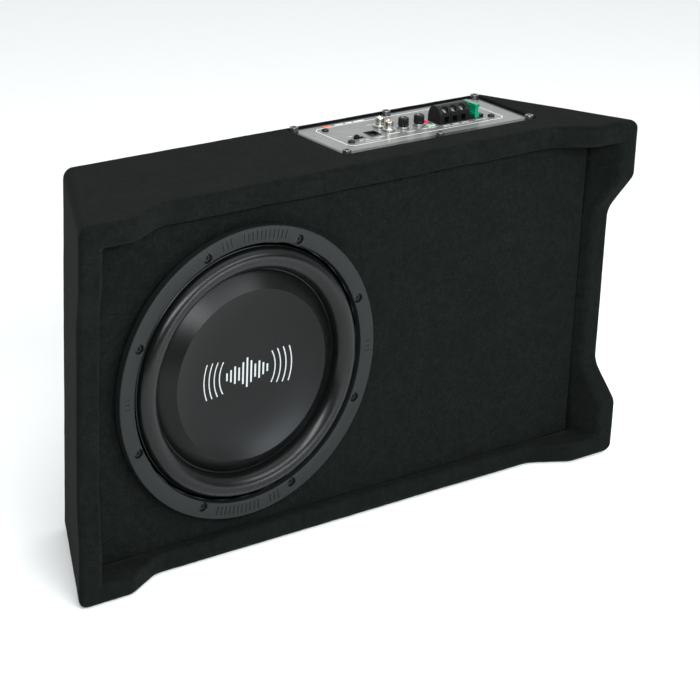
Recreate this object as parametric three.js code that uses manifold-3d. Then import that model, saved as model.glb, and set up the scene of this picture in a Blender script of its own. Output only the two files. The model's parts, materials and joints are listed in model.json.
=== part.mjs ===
// Powered car subwoofer: a carpeted sealed box with a shallow 10 inch driver on its front and an
// amplifier let into its top. Millimetres, +Z up. The box stands on its long bottom side, the driver
// faces -Y, and the origin is the middle of the box's footprint.

import * as THREE from 'three';
import { mergeVertices } from 'three/addons/utils/BufferGeometryUtils.js';
import Module from 'manifold-3d';

const wasm = await Module();
wasm.setup();

// ---------------------------------------------------------------------------------------------
// Driving dimensions
// ---------------------------------------------------------------------------------------------

const GAP = 0.3; // between pieces that touch

// Box, over its carpet. The two side walls lean inwards towards the back.
const WIDTH = 604;
const HEIGHT = 334;
const DEPTH = 146;
const SIDE_TAPER = 74; // how far each side wall moves in between the front and the back
const BOARD = 15; // wooden panels
const CARPET = 2.2;
const CORNER_RADIUS = 9; // the four long edges, from front to back

// Front: the walls end in a rim, and each corner runs on forwards as a foot that guards the driver.
const RIM_SETBACK = 20; // rim behind the feet
const BAFFLE_SETBACK = 30; // carpeted baffle behind the feet
const FOOT_LENGTH = 54; // from the corner along each wall
const FOOT_RAMP = 36; // length of the ramp between foot and rim

// Driver
const DRIVER_X = -120;
const DRIVER_Z = HEIGHT / 2;
const RING_PROUD = 12; // trim ring's face in front of the carpeted baffle
const RING_RADIUS = 131.8;
const BOLT_RADIUS = 122;
const BOLT_COUNT = 8;
const BAFFLE_HOLE = 112;
const WINDOW_COUNT = 6;

// Amplifier plate, let into the top wall flush with the wood, inside a cut-out in the carpet
const PLATE_X = [-0.5, 220.5];
const PLATE_Y = [-19.2, 67.7];
const PLATE_THICKNESS = 1.8;
const GASKET_THICKNESS = 0.8;
const PLATE_CLEARANCE = 0.5; // round the plate
const CUTOUT_X = [14.8, 212.8];
const CUTOUT_Y = [0.2, 56];
const PLATE_SCREWS = [
  [5, -14.5], [109.5, -14.5], [215, -14.5],
  [5, 63], [109.5, 63], [215, 63],
];
const HOUSING_FLOOR = 252; // height of the amplifier housing's floor above the ground
const BOARD_DROP = 16.4; // circuit board's upper face below the plate's

// Controls and sockets on the plate
const RCA_X = 80.8;
const RCA_Y = [36.2, 23.2];
const KNOB_X = [96.8, 114.8];
const KNOB_Y = 22.2;
const SWITCH = { x: 43.3, y: 18.7, width: 12, depth: 6 };
const REMOTE = { x: 62.3, y: 22.7, width: 12, depth: 13 };
const LED = { x: 125.8, y: 26.2 };
const AUX = { x: 122.8, y: 14.7, width: 8.4, depth: 4.4 };
const TERMINAL = { x0: 131.8, x1: 166.8, y0: 12.7, y1: 30.2, height: 16, pitch: 9.9 };
const FUSE = { x: 175.3, y: 21.7, width: 19, thickness: 5 };

// ---------------------------------------------------------------------------------------------
// Derived places
// ---------------------------------------------------------------------------------------------

const FRONT = -DEPTH / 2; // plane of the feet
const BACK = DEPTH / 2;
const RIM_Y = FRONT + RIM_SETBACK;
const BAFFLE_Y = FRONT + BAFFLE_SETBACK;
const RING_Y = BAFFLE_Y - RING_PROUD;
const SKIN = CARPET + GAP; // from a carpeted face to the board under it
const WALL = BOARD + 2 * SKIN; // a wall with carpet on both sides
const PLATE_TOP = HEIGHT - SKIN;
const PLATE_Z = PLATE_TOP - PLATE_THICKNESS; // plate's underside
const GASKET_Z = PLATE_Z - GAP - GASKET_THICKNESS;
const BOARD_TOP = PLATE_TOP - BOARD_DROP;
const PANEL_BACK = BACK - SKIN - BOARD; // front of the back panel
const BAFFLE_BOARD_Y = BAFFLE_Y + SKIN;

const SLOPE = SIDE_TAPER / DEPTH;
const SECANT = Math.hypot(1, SLOPE);
const RAMP_SINE = RIM_SETBACK / Math.hypot(RIM_SETBACK, FOOT_RAMP);

const COLOURS = {
  carpet: { color: 0x24282a, roughness: 0.96, metalness: 0 },
  board: { color: 0xa98a63, roughness: 0.85, metalness: 0 },
  ring: { color: 0x3a3e42, roughness: 0.45, metalness: 0.2 },
  rubber: { color: 0x16181a, roughness: 0.55, metalness: 0 },
  cone: { color: 0x34383c, roughness: 0.5, metalness: 0.1 },
  foam: { color: 0x0e0f10, roughness: 0.95, metalness: 0 },
  frame: { color: 0x1d1f21, roughness: 0.6, metalness: 0.4 },
  blackSteel: { color: 0x101112, roughness: 0.4, metalness: 0.7 },
  steel: { color: 0xb5b8ba, roughness: 0.35, metalness: 0.9 },
  ferrite: { color: 0x2b2b2d, roughness: 0.7, metalness: 0.1 },
  copper: { color: 0xb06a3a, roughness: 0.4, metalness: 0.8 },
  cloth: { color: 0xb39a4a, roughness: 0.9, metalness: 0 },
  plate: { color: 0xa6a6a2, roughness: 0.5, metalness: 0.4 },
  circuit: { color: 0x1f5a34, roughness: 0.6, metalness: 0 },
  blackPlastic: { color: 0x141516, roughness: 0.5, metalness: 0 },
  whitePlastic: { color: 0xe6e6e2, roughness: 0.4, metalness: 0 },
  orangePlastic: { color: 0xe07a3a, roughness: 0.4, metalness: 0 },
  greenPlastic: { color: 0x0f9a62, roughness: 0.25, metalness: 0 },
  pinkPlastic: { color: 0xd8264a, roughness: 0.2, metalness: 0 },
  paleGreen: { color: 0x9fc4ae, roughness: 0.5, metalness: 0 },
};

// ---------------------------------------------------------------------------------------------
// Geometry helpers
// ---------------------------------------------------------------------------------------------

// The closed solid of a geometry, with its faces out.
function toSolid(geometry) {
  const bare = geometry.index ? geometry.toNonIndexed() : geometry.clone();
  bare.deleteAttribute('normal');
  bare.deleteAttribute('uv');
  const merged = mergeVertices(bare, 1e-4);
  const points = merged.attributes.position.array;
  const index = merged.index.array;
  const triangles = [];
  let volume = 0;
  for (let i = 0; i < index.length; i += 3) {
    const [a, b, c] = [index[i], index[i + 1], index[i + 2]];
    if (a === b || b === c || a === c) continue;
    triangles.push(a, b, c);
    const [p, q, r] = [a, b, c].map((k) => new THREE.Vector3().fromArray(points, 3 * k));
    volume += p.dot(q.cross(r));
  }
  if (volume < 0) triangles.reverse();
  return new wasm.Manifold(new wasm.Mesh({
    numProp: 3,
    vertProperties: Float32Array.from(points),
    triVerts: Uint32Array.from(triangles),
  }));
}

function toGeometry(solid) {
  const mesh = solid.getMesh();
  const geometry = new THREE.BufferGeometry();
  geometry.setAttribute('position', new THREE.BufferAttribute(Float32Array.from(mesh.vertProperties), 3));
  geometry.setIndex(new THREE.BufferAttribute(Uint32Array.from(mesh.triVerts), 1));
  return geometry;
}

function join(...pieces) {
  return toGeometry(pieces.map(toSolid).reduce((whole, piece) => whole.add(piece)));
}

function cut(piece, ...tools) {
  return toGeometry(tools.map(toSolid).reduce((rest, tool) => rest.subtract(tool), toSolid(piece)));
}

function keep(piece, region) {
  return toGeometry(toSolid(piece).intersect(toSolid(region)));
}

// A box from its lowest to its highest corner.
function block([x0, x1], [y0, y1], [z0, z1]) {
  const box = new THREE.BoxGeometry(x1 - x0, y1 - y0, z1 - z0);
  return box.translate((x0 + x1) / 2, (y0 + y1) / 2, (z0 + z1) / 2);
}

// An outline in the XY plane, raised from z0 to z1.
function raised(points, z0, z1) {
  const shape = new THREE.Shape(points.map(([x, y]) => new THREE.Vector2(x, y)));
  return new THREE.ExtrudeGeometry(shape, { depth: z1 - z0, bevelEnabled: false }).translate(0, 0, z0);
}

// An outline in the YZ plane, drawn out along X from x0 to x1.
function drawn(points, x0, x1) {
  const shape = new THREE.Shape(points.map(([y, z]) => new THREE.Vector2(y, z)));
  const solid = new THREE.ExtrudeGeometry(shape, { depth: x1 - x0, bevelEnabled: false });
  solid.applyMatrix4(new THREE.Matrix4().set(0, 0, 1, x0, 1, 0, 0, 0, 0, 1, 0, 0, 0, 0, 0, 1));
  return solid;
}

// A turned piece about +Z, from points [radius, height].
function turned(points, segments = 24) {
  const closed = points.map(([radius, height]) => new THREE.Vector2(radius, height));
  closed.push(closed[0].clone());
  return new THREE.LatheGeometry(closed, segments).rotateX(Math.PI / 2);
}

function rod(radius, z0, z1, segments = 12) {
  return turned([[0, z0], [radius, z0], [radius, z1], [0, z1]], segments);
}

// A turned piece of the driver, from points [radius, depth behind the trim ring's face].
function driverTurned(points, segments = 36) {
  const closed = points.map(([radius, depth]) => new THREE.Vector2(radius, depth));
  closed.push(closed[0].clone());
  return new THREE.LatheGeometry(closed, segments).translate(DRIVER_X, RING_Y, DRIVER_Z);
}

// A rod along the driver's axis, at a radius and an angle from it, between two depths.
function driverRod(radius, at, angle, d0, d1, segments = 12) {
  const profile = [[0, d0], [radius, d0], [radius, d1], [0, d1], [0, d0]];
  const pin = new THREE.LatheGeometry(profile.map(([r, d]) => new THREE.Vector2(r, d)), segments);
  return pin.translate(DRIVER_X + at * Math.cos(angle), RING_Y, DRIVER_Z + at * Math.sin(angle));
}

function boltAngles() {
  return Array.from({ length: BOLT_COUNT }, (_, k) => ((k + 0.5) * 2 * Math.PI) / BOLT_COUNT);
}

function boltHoles(radius, d0, d1) {
  return boltAngles().map((angle) => driverRod(radius, BOLT_RADIUS, angle, d0, d1, 8));
}

function plateScrewHoles(radius, z0, z1) {
  return PLATE_SCREWS.map(([x, y]) => rod(radius, z0, z1, 8).translate(x, y, 0));
}

const subwoofer = new THREE.Group();
subwoofer.name = 'powered_subwoofer';

function piece(name, geometry, look) {
  const mesh = new THREE.Mesh(geometry, new THREE.MeshStandardMaterial(COLOURS[look]));
  mesh.name = name;
  mesh.geometry.computeVertexNormals();
  subwoofer.add(mesh);
  return mesh;
}

// ---------------------------------------------------------------------------------------------
// Box
// ---------------------------------------------------------------------------------------------

// Half the box's width at depth y, with the side walls taken in by an inset.
function halfWidth(y, inset) {
  return WIDTH / 2 - SLOPE * (y - FRONT) - inset * SECANT;
}

// The box's section at depth y, taken in by an inset, as a rectangle with rounded corners.
function section(inset, y) {
  const steps = 4;
  const radius = Math.max(CORNER_RADIUS - inset, 1);
  const across = halfWidth(y, inset) - radius;
  const up = HEIGHT / 2 - inset - radius;
  const corners = [[1, 1], [-1, 1], [-1, -1], [1, -1]];
  return corners.flatMap(([sideX, sideZ], quarter) => Array.from({ length: steps + 1 }, (_, k) => {
    const turn = ((quarter + k / steps) * Math.PI) / 2;
    return new THREE.Vector3(
      sideX * across + radius * Math.cos(turn),
      y,
      HEIGHT / 2 + sideZ * up + radius * Math.sin(turn),
    );
  }));
}

// The box between two depths, taken in all round by an inset.
function tapered(inset, y0, y1) {
  const [front, back] = [section(inset, y0), section(inset, y1)];
  const count = front.length;
  const corners = [];
  for (let k = 0; k < count; k += 1) {
    const next = (k + 1) % count;
    corners.push(front[k], back[k], front[next], front[next], back[k], back[next]);
    if (k > 0 && k < count - 1) {
      corners.push(front[0], front[k], front[next], back[0], back[next], back[k]);
    }
  }
  return new THREE.BufferGeometry().setFromPoints(corners);
}

// Distance from a corner to the ramp's face at depth y, with the face moved into the wall by inset.
function rampStart(y, inset) {
  return FOOT_LENGTH + ((y - FRONT) * FOOT_RAMP) / RIM_SETBACK - inset / RAMP_SINE;
}

// What is taken off the front of the walls between the feet, leaving the rim.
function notches(inset) {
  const near = FRONT - 5;
  const far = RIM_Y + inset;
  const [atNear, atFar] = [rampStart(near, inset), rampStart(far, inset)];
  const half = WIDTH / 2;
  const overWidth = raised([
    [atNear - half, near], [half - atNear, near], [half - atFar, far], [atFar - half, far],
  ], -1, HEIGHT + 1);
  const overHeight = drawn([
    [near, atNear], [far, atFar], [far, HEIGHT - atFar], [near, HEIGHT - atNear],
  ], -WIDTH, WIDTH);
  return [overWidth, overHeight];
}

function cutoutBlock(z0, z1) {
  return block(CUTOUT_X, CUTOUT_Y, [z0, z1]);
}

// The four walls as one frame, between an outer and an inner inset.
function wallFrame(outer, inner, y0, y1) {
  return cut(tapered(outer, y0, y1), tapered(inner, y0 - 10, y1 + 10), ...notches(outer));
}

// Room for the plate in the carpet and the boards.
function plateRecess(z0) {
  const [x, y] = [PLATE_X, PLATE_Y].map(([low, high]) => [low - PLATE_CLEARANCE, high + PLATE_CLEARANCE]);
  return roundedPlate(x, y, 3.5, z0, HEIGHT + 1);
}

function carpetWrap() {
  const boards = wallFrame(CARPET, WALL - CARPET, FRONT + CARPET, BACK);
  const inside = tapered(SKIN + BOARD / 2, BAFFLE_BOARD_Y - GAP, BACK + 10);
  return cut(
    wallFrame(0, WALL, FRONT, BACK - SKIN),
    boards,
    inside,
    plateRecess(HEIGHT - 10),
  );
}

const boardEdge = SKIN + BOARD; // inner face of the top and bottom panels
const walls = wallFrame(SKIN, boardEdge, FRONT + SKIN, PANEL_BACK - GAP);
const everyX = [-WIDTH, WIDTH];
const everyY = [-DEPTH, DEPTH];
const betweenZ = [boardEdge + GAP, HEIGHT - boardEdge - GAP];

const plateSeat = [plateRecess(GASKET_Z - GAP), ...plateScrewHoles(2.1, HEIGHT - 30, HEIGHT + 1)];
const topPanel = cut(
  keep(walls, block(everyX, everyY, [HEIGHT - boardEdge, HEIGHT])),
  cutoutBlock(HEIGHT - 30, HEIGHT + 1),
  ...plateSeat,
);
piece('top_panel', topPanel, 'board');
piece('bottom_panel', keep(walls, block(everyX, everyY, [0, boardEdge])), 'board');
piece('left_panel', keep(walls, block([-WIDTH, 0], everyY, betweenZ)), 'board');
piece('right_panel', keep(walls, block([0, WIDTH], everyY, betweenZ)), 'board');
piece('back_panel', cut(tapered(SKIN, PANEL_BACK, BACK - SKIN), ...plateSeat), 'board');

const baffleInset = boardEdge + GAP;
const baffleDepth = BAFFLE_BOARD_Y - RING_Y; // of the board's face, behind the ring's face
const baffle = cut(
  tapered(baffleInset, BAFFLE_BOARD_Y, BAFFLE_BOARD_Y + BOARD),
  driverRod(BAFFLE_HOLE, 0, 0, baffleDepth - 1, baffleDepth + BOARD + 1, 36),
  ...boltHoles(2.4, baffleDepth - 1, baffleDepth + BOARD + 1),
);
piece('front_baffle', baffle, 'board');

piece('carpet_wrap', carpetWrap(), 'carpet');
piece('carpet_back', tapered(0, BACK - CARPET, BACK), 'carpet');
const baffleCarpet = cut(
  tapered(WALL + GAP, BAFFLE_Y, BAFFLE_Y + CARPET),
  driverRod(BAFFLE_HOLE + 1, 0, 0, RING_PROUD - 1, RING_PROUD + 5, 36),
  ...boltHoles(2.4, RING_PROUD - 1, RING_PROUD + 5),
);
piece('carpet_baffle', baffleCarpet, 'carpet');

// ---------------------------------------------------------------------------------------------
// Driver: radii and depths behind the trim ring's face
// ---------------------------------------------------------------------------------------------

function ringSector(r0, r1, angle, width, d0, d1) {
  const shape = new THREE.Shape();
  shape.absarc(0, 0, r1, angle - width / 2, angle + width / 2, false);
  shape.absarc(0, 0, r0, angle + width / 2, angle - width / 2, true);
  const options = { depth: d1 - d0, bevelEnabled: false, curveSegments: 2 };
  const sector = new THREE.ExtrudeGeometry(shape, options).rotateX(Math.PI / 2);
  return sector.translate(DRIVER_X, RING_Y + d1, DRIVER_Z);
}

// Rubber half roll between the frame's step and the cone's edge.
function halfRoll() {
  const inner = [91.6, 7];
  const outer = [112.4, 3.6];
  const height = 10.4;
  const thickness = 1;
  const steps = 6;
  const arc = (lift) => Array.from({ length: steps + 1 }, (_, k) => {
    const turn = (Math.PI * k) / steps;
    const along = (1 - Math.cos(turn)) / 2;
    const shrink = lift * Math.cos(turn);
    return [
      outer[0] + (inner[0] - outer[0]) * along - shrink,
      outer[1] + (inner[1] - outer[1]) * along - (height - lift) * Math.sin(turn),
    ];
  });
  const front = arc(0);
  const rear = arc(thickness).reverse();
  return driverTurned([
    [116, 3], ...front, [88.2, 7], [88.2, 8.2], ...rear, [116, 4.4],
  ]);
}

const trimRing = cut(
  driverTurned([
    [117, 0.6], [117.8, 0], [129.4, 0], [131.2, 0.8], [RING_RADIUS, 2.6], [RING_RADIUS, 7.2],
    [131, 8], [117, 8],
  ]),
  ...boltHoles(4.1, -1, 5),
  ...boltHoles(2.4, 4, 9),
);
piece('trim_ring', trimRing, 'ring');

boltAngles().forEach((angle, k) => {
  const profile = [
    [0, 3.4], [1.8, 3.4], [1.8, 1.6], [3.4, 1.6], [3.7, 1.9], [3.7, 4.7], [2, 4.7], [2, 24],
    [0, 24], [0, 3.4],
  ];
  const screw = new THREE.LatheGeometry(profile.map(([r, d]) => new THREE.Vector2(r, d)), 8);
  const x = DRIVER_X + BOLT_RADIUS * Math.cos(angle);
  const z = DRIVER_Z + BOLT_RADIUS * Math.sin(angle);
  piece(`ring_screw_${k + 1}`, toGeometry(toSolid(screw.translate(x, RING_Y, z))), 'blackSteel');
});

const gasketFace = RING_PROUD - GAP;
const driverGasket = cut(
  driverTurned([
    [113.5, gasketFace - 1.1], [128, gasketFace - 1.1], [128, gasketFace], [113.5, gasketFace],
  ]),
  ...boltHoles(2.4, gasketFace - 3, gasketFace + 2),
);
piece('driver_gasket', driverGasket, 'foam');

const armAngles = Array.from({ length: WINDOW_COUNT }, (_, k) => (k * 2 * Math.PI) / WINDOW_COUNT);
const windowWidth = THREE.MathUtils.degToRad(42);
const terminalShelf = block(
  [DRIVER_X + 79, DRIVER_X + 100], [RING_Y + 33, RING_Y + 37], [DRIVER_Z - 9, DRIVER_Z + 9],
);
const basket = cut(
  join(
    driverTurned([
      [128.5, 8.3], [128.5, 10.3], [110.5, 10.3], [109.5, 16], [106, 24], [70, 42], [60, 49.7],
      [36, 49.7], [36, 47.2], [56, 47.2], [64, 41], [64, 38], [69, 38], [102, 22], [105, 14],
      [105, 4.7], [116.2, 4.7], [116.2, 8.3],
    ], 30),
    terminalShelf,
  ),
  ...armAngles.map((angle) => ringSector(74, 100, angle + Math.PI / WINDOW_COUNT, windowWidth, 16, 48)),
  ...boltHoles(2.4, 7, 12),
);
piece('driver_basket', basket, 'frame');

piece('surround', toGeometry(toSolid(halfRoll())), 'rubber');

const cone = driverTurned([
  [91.8, 8.5], [91.8, 9.5], [88, 11], [30, 33], [26.4, 33], [26.4, 31.6], [29.6, 31.6], [86, 10],
  [87, 8.5],
]);
piece('cone', toGeometry(toSolid(cone)), 'cone');

const dustCap = driverTurned([
  [0, 4.2], [30, 3.6], [55, 2.2], [76, 0.2], [80.5, 1], [84, 3], [86.4, 5.6], [87.4, 8.2], [86.2, 8.2],
  [85.2, 6.2], [83, 4], [79.8, 2.2], [76, 1.4], [55, 3.4], [30, 4.8], [0, 5.4],
]);
piece('dust_cap', toGeometry(toSolid(dustCap)), 'cone');

const voiceCoil = driverTurned([
  [25.1, 30], [26, 30], [26, 46], [27.2, 46], [27.2, 60], [26, 60], [26, 62], [25.1, 62],
], 24);
piece('voice_coil', toGeometry(toSolid(voiceCoil)), 'copper');

function corrugations(offset) {
  const [inner, outer, folds, depth] = [30, 58, 6, 1.4];
  return Array.from({ length: folds + 1 }, (_, k) => [
    inner + ((outer - inner) * k) / folds,
    35.6 + (k % 2 ? depth : -depth) + offset,
  ]);
}
const spider = driverTurned([
  [26.3, 35.6], ...corrugations(0), [68.5, 36.4], [68.5, 37.6], [60, 37.6],
  ...corrugations(1).reverse(), [26.3, 36.6],
], 24);
piece('spider', toGeometry(toSolid(spider)), 'cloth');

piece('top_plate', toGeometry(toSolid(driverTurned([
  [28.3, 50], [55, 50], [55, 58], [28.3, 58],
], 24))), 'steel');
piece('magnet', toGeometry(toSolid(driverTurned([
  [33, 58.3], [59, 58.3], [60, 59.3], [60, 71], [59, 72], [33, 72],
], 24))), 'ferrite');
piece('yoke', toGeometry(toSolid(driverTurned([
  [8, 50], [23.8, 50], [23.8, 72.3], [55, 72.3], [55, 78], [52, 80], [8, 80],
], 24))), 'steel');

const tagX = DRIVER_X + 82;
const driverTerminal = join(
  block([tagX, tagX + 14], [RING_Y + 37.3, RING_Y + 43], [DRIVER_Z - 8, DRIVER_Z + 8]),
  block([tagX + 2, tagX + 8], [RING_Y + 42, RING_Y + 50], [DRIVER_Z - 5.4, DRIVER_Z - 4.6]),
  block([tagX + 2, tagX + 8], [RING_Y + 42, RING_Y + 50], [DRIVER_Z + 4.6, DRIVER_Z + 5.4]),
);
piece('driver_terminal', driverTerminal, 'blackPlastic');

// ---------------------------------------------------------------------------------------------
// Amplifier: plate, housing and board
// ---------------------------------------------------------------------------------------------

function roundedPlate([x0, x1], [y0, y1], radius, z0, z1) {
  const shape = new THREE.Shape();
  shape.absarc(x1 - radius, y1 - radius, radius, 0, Math.PI / 2, false);
  shape.absarc(x0 + radius, y1 - radius, radius, Math.PI / 2, Math.PI, false);
  shape.absarc(x0 + radius, y0 + radius, radius, Math.PI, 1.5 * Math.PI, false);
  shape.absarc(x1 - radius, y0 + radius, radius, 1.5 * Math.PI, 2 * Math.PI, false);
  const options = { depth: z1 - z0, bevelEnabled: false, curveSegments: 4 };
  return new THREE.ExtrudeGeometry(shape, options).translate(0, 0, z0);
}

function around(box, grow) {
  return [
    [box.x - box.width / 2 - grow, box.x + box.width / 2 + grow],
    [box.y - box.depth / 2 - grow, box.y + box.depth / 2 + grow],
  ];
}

const plateGasket = cut(
  roundedPlate([PLATE_X[0] + 1, PLATE_X[1] - 1], [PLATE_Y[0] + 1, PLATE_Y[1] - 1], 3,
    GASKET_Z, GASKET_Z + GASKET_THICKNESS),
  cutoutBlock(GASKET_Z - 1, PLATE_TOP),
  ...plateScrewHoles(2.1, GASKET_Z - 1, PLATE_TOP),
);
piece('plate_gasket', plateGasket, 'foam');

const [through, over] = [PLATE_Z - 1, PLATE_TOP + 1];
const holderX = [TERMINAL.x1 + GAP, FUSE.x + 8];
const holderY = [TERMINAL.y0, TERMINAL.y1 + 1];
const inletX = [TERMINAL.x0 - GAP, holderX[1] + GAP];
const inletY = [holderY[0] - GAP, holderY[1] + GAP];
const plate = cut(
  roundedPlate(PLATE_X, PLATE_Y, 3, PLATE_Z, PLATE_TOP),
  ...plateScrewHoles(2.1, through, over),
  ...RCA_Y.map((y) => rod(4.5, through, over, 20).translate(RCA_X, y, 0)),
  ...KNOB_X.map((x) => rod(3.9, through, over, 20).translate(x, KNOB_Y, 0)),
  block(...around(SWITCH, 0), [through, over]),
  block(...around(REMOTE, 0), [through, over]),
  block(...around(AUX, 0), [through, over]),
  rod(1.9, through, over, 12).translate(LED.x, LED.y, 0),
  block(inletX, inletY, [through, over]),
);
piece('amp_plate', plate, 'plate');

PLATE_SCREWS.forEach(([x, y], k) => {
  const seat = PLATE_TOP + GAP;
  const screw = turned([
    [0, 318], [1.75, 318], [1.75, seat], [3.9, seat], [3.9, seat + 3.6], [3.5, seat + 4], [1.8, seat + 4],
    [1.8, seat + 1.8], [0, seat + 1.8],
  ], 8);
  piece(`plate_screw_${k + 1}`, toGeometry(toSolid(screw.translate(x, y, 0))), 'blackSteel');
});

const sheet = 1.5;
const housingX = [CUTOUT_X[0] + 3, CUTOUT_X[1] - 3];
const housingY = [CUTOUT_Y[0] + 2, CUTOUT_Y[1] - 3];
const leadExit = { x: 40, y: 13 };
const housing = cut(
  block(housingX, housingY, [HOUSING_FLOOR, PLATE_Z - GAP]),
  block(
    [housingX[0] + sheet, housingX[1] - sheet],
    [housingY[0] + sheet, housingY[1] - sheet],
    [HOUSING_FLOOR + sheet, HEIGHT + 10],
  ),
);
piece('amp_housing', housing, 'frame');

const capacitors = [[162, 18], [162, 39], [184, 18], [184, 39]];
const boardX = [housingX[0] + 3, housingX[1] - 3];
const boardY = [housingY[0] + 3, housingY[1] - 3];
const board = join(
  block(boardX, boardY, [BOARD_TOP - 1.6, BOARD_TOP]),
  ...capacitors.map(([x, y]) => rod(8, BOARD_TOP - 34, BOARD_TOP - 1, 16).translate(x, y, 0)),
);
piece('amp_board', board, 'circuit');

const toroidTop = BOARD_TOP - 1.6 - GAP;
piece('toroid', toGeometry(toSolid(turned([
  [8, toroidTop - 15], [11, toroidTop - 18], [17, toroidTop - 18], [20, toroidTop - 15],
  [20, toroidTop - 3], [17, toroidTop], [11, toroidTop], [8, toroidTop - 3],
], 16).translate(103, 29, 0))), 'copper');

// Speaker lead from the amplifier's floor to the tags on the driver's frame.
const leadPath = new THREE.CatmullRomCurve3([
  new THREE.Vector3(leadExit.x, leadExit.y, HOUSING_FLOOR - GAP),
  new THREE.Vector3(leadExit.x, leadExit.y, HOUSING_FLOOR - 14),
  new THREE.Vector3(30, 10, 212),
  new THREE.Vector3(8, 2, 186),
  new THREE.Vector3(-8, -8, 170),
  new THREE.Vector3(tagX + 24, RING_Y + 40, DRIVER_Z),
  new THREE.Vector3(tagX + 14 + GAP, RING_Y + 40, DRIVER_Z),
]);
const leadSection = new THREE.Shape(Array.from({ length: 8 }, (_, k) => {
  const turn = (k * Math.PI) / 4;
  return new THREE.Vector2(2.5 * Math.cos(turn), 2.5 * Math.sin(turn));
}));
const lead = new THREE.ExtrudeGeometry(leadSection, { steps: 20, extrudePath: leadPath });
piece('speaker_lead', toGeometry(toSolid(lead)), 'rubber');

// ---------------------------------------------------------------------------------------------
// Amplifier: sockets and controls
// ---------------------------------------------------------------------------------------------

const boardRest = BOARD_TOP + GAP; // underside of what stands on the board

RCA_Y.forEach((y, k) => {
  const seat = PLATE_TOP + GAP;
  const sleeve = turned([
    [3.3, boardRest], [4.15, boardRest], [4.15, seat], [5.9, seat], [5.9, seat + 1.6], [4.15, seat + 1.6],
    [4.15, seat + 8.2], [3.9, seat + 8.6], [3.3, seat + 8.6],
  ], 16);
  const insert = turned([
    [1.7, boardRest], [3, boardRest], [3, seat + 7.8], [1.7, seat + 7.8],
  ], 12);
  const side = ['left', 'right'][k];
  piece(`rca_sleeve_${side}`, toGeometry(toSolid(sleeve.translate(RCA_X, y, 0))), 'steel');
  piece(`rca_insert_${side}`, toGeometry(toSolid(insert.translate(RCA_X, y, 0))),
    ['whitePlastic', 'orangePlastic'][k]);
});

KNOB_X.forEach((x, k) => {
  const seat = PLATE_TOP + GAP;
  const control = ['gain', 'crossover'][k];
  const pot = cut(
    join(
      block([-4.7, 4.7], [-4.7, 4.7], [boardRest, PLATE_Z - GAP]),
      rod(3.5, boardRest + 1, seat + 1, 20),
      turned([[0, seat], [5.6, seat], [5.6, seat + 1.6], [0, seat + 1.6]], 24),
    ),
    rod(2.4, boardRest + 4, seat + 5, 16),
  );
  piece(`pot_${control}`, pot.translate(x, KNOB_Y, 0), 'steel');

  const grip = seat + 1.9;
  const ridges = Array.from({ length: 12 }, (_, n) => {
    const turn = (n * Math.PI) / 6;
    return rod(0.6, grip - 1, grip + 7, 4).translate(5 * Math.cos(turn), 5 * Math.sin(turn), 0);
  });
  const knob = cut(
    join(
      turned([[0, grip], [4.9, grip], [4.8, grip + 7.4], [4, grip + 8], [0, grip + 8]], 24),
      rod(2.3, boardRest + 4.3, grip + 1, 16),
    ),
    ...ridges,
    block([-0.5, 0.5], [1.5, 6], [grip + 7.2, grip + 9]),
  );
  piece(`knob_${control}`, knob.translate(x, KNOB_Y, 0), 'blackPlastic');
});

const switchTravel = 4;
const switchBody = cut(
  block(...around(SWITCH, -GAP), [boardRest, PLATE_TOP]),
  block(
    [SWITCH.x - 4.6, SWITCH.x + 4.6], [SWITCH.y - 1.7, SWITCH.y + 1.7], [PLATE_TOP - 5, PLATE_TOP + 1],
  ),
);
piece('switch_body', switchBody, 'blackPlastic');
const lever = SWITCH.x - switchTravel / 2;
const switchLever = join(
  block([lever - 2.2, lever + 2.2], [SWITCH.y - 1.4, SWITCH.y + 1.4], [PLATE_TOP - 4.7, PLATE_TOP + 2.4]),
  block([lever - 1.4, lever + 1.4], [SWITCH.y - 1.1, SWITCH.y + 1.1], [PLATE_TOP + 2, PLATE_TOP + 3.2]),
);
piece('switch_lever', switchLever, 'blackPlastic');

const remoteSocket = cut(
  block(...around(REMOTE, -GAP), [boardRest, PLATE_TOP + 0.6]),
  block([REMOTE.x - 4.9, REMOTE.x + 4.9], [REMOTE.y - 4, REMOTE.y + 5], [boardRest + 3, PLATE_TOP + 2]),
  block([REMOTE.x - 2, REMOTE.x + 2], [REMOTE.y - 5.4, REMOTE.y], [boardRest + 3, PLATE_TOP + 2]),
);
piece('remote_socket', remoteSocket, 'blackPlastic');

const ledTop = PLATE_TOP + 2.6;
piece('status_led', toGeometry(toSolid(turned([
  [0, boardRest], [1.5, boardRest], [1.5, ledTop - 1.5], [1.3, ledTop - 0.75], [0.75, ledTop - 0.2],
  [0, ledTop],
], 12).translate(LED.x, LED.y, 0))), 'pinkPlastic');

const auxSocket = cut(
  block(...around(AUX, -GAP), [boardRest, PLATE_TOP + 1.2]),
  block([AUX.x - 3, AUX.x + 3], [AUX.y - 1, AUX.y + 1], [PLATE_TOP - 4, PLATE_TOP + 2]),
);
piece('level_socket', auxSocket, 'paleGreen');

// Power terminals: a rounded block with a clamp screw and a wire entry for each of three cables.
const terminalCentres = [-1, 0, 1].map((k) => (TERMINAL.x0 + TERMINAL.x1) / 2 + k * TERMINAL.pitch);
const terminalTop = PLATE_TOP + TERMINAL.height;
const screwTilt = THREE.MathUtils.degToRad(40);
const screwFace = { y: TERMINAL.y0 + 4.2, z: PLATE_TOP + 11.4 };

function tilted(geometry, x, sink) {
  const leaned = geometry.rotateX(screwTilt);
  const [back, down] = [sink * Math.sin(screwTilt), sink * Math.cos(screwTilt)];
  return leaned.translate(x, screwFace.y + back, screwFace.z - down);
}

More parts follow.
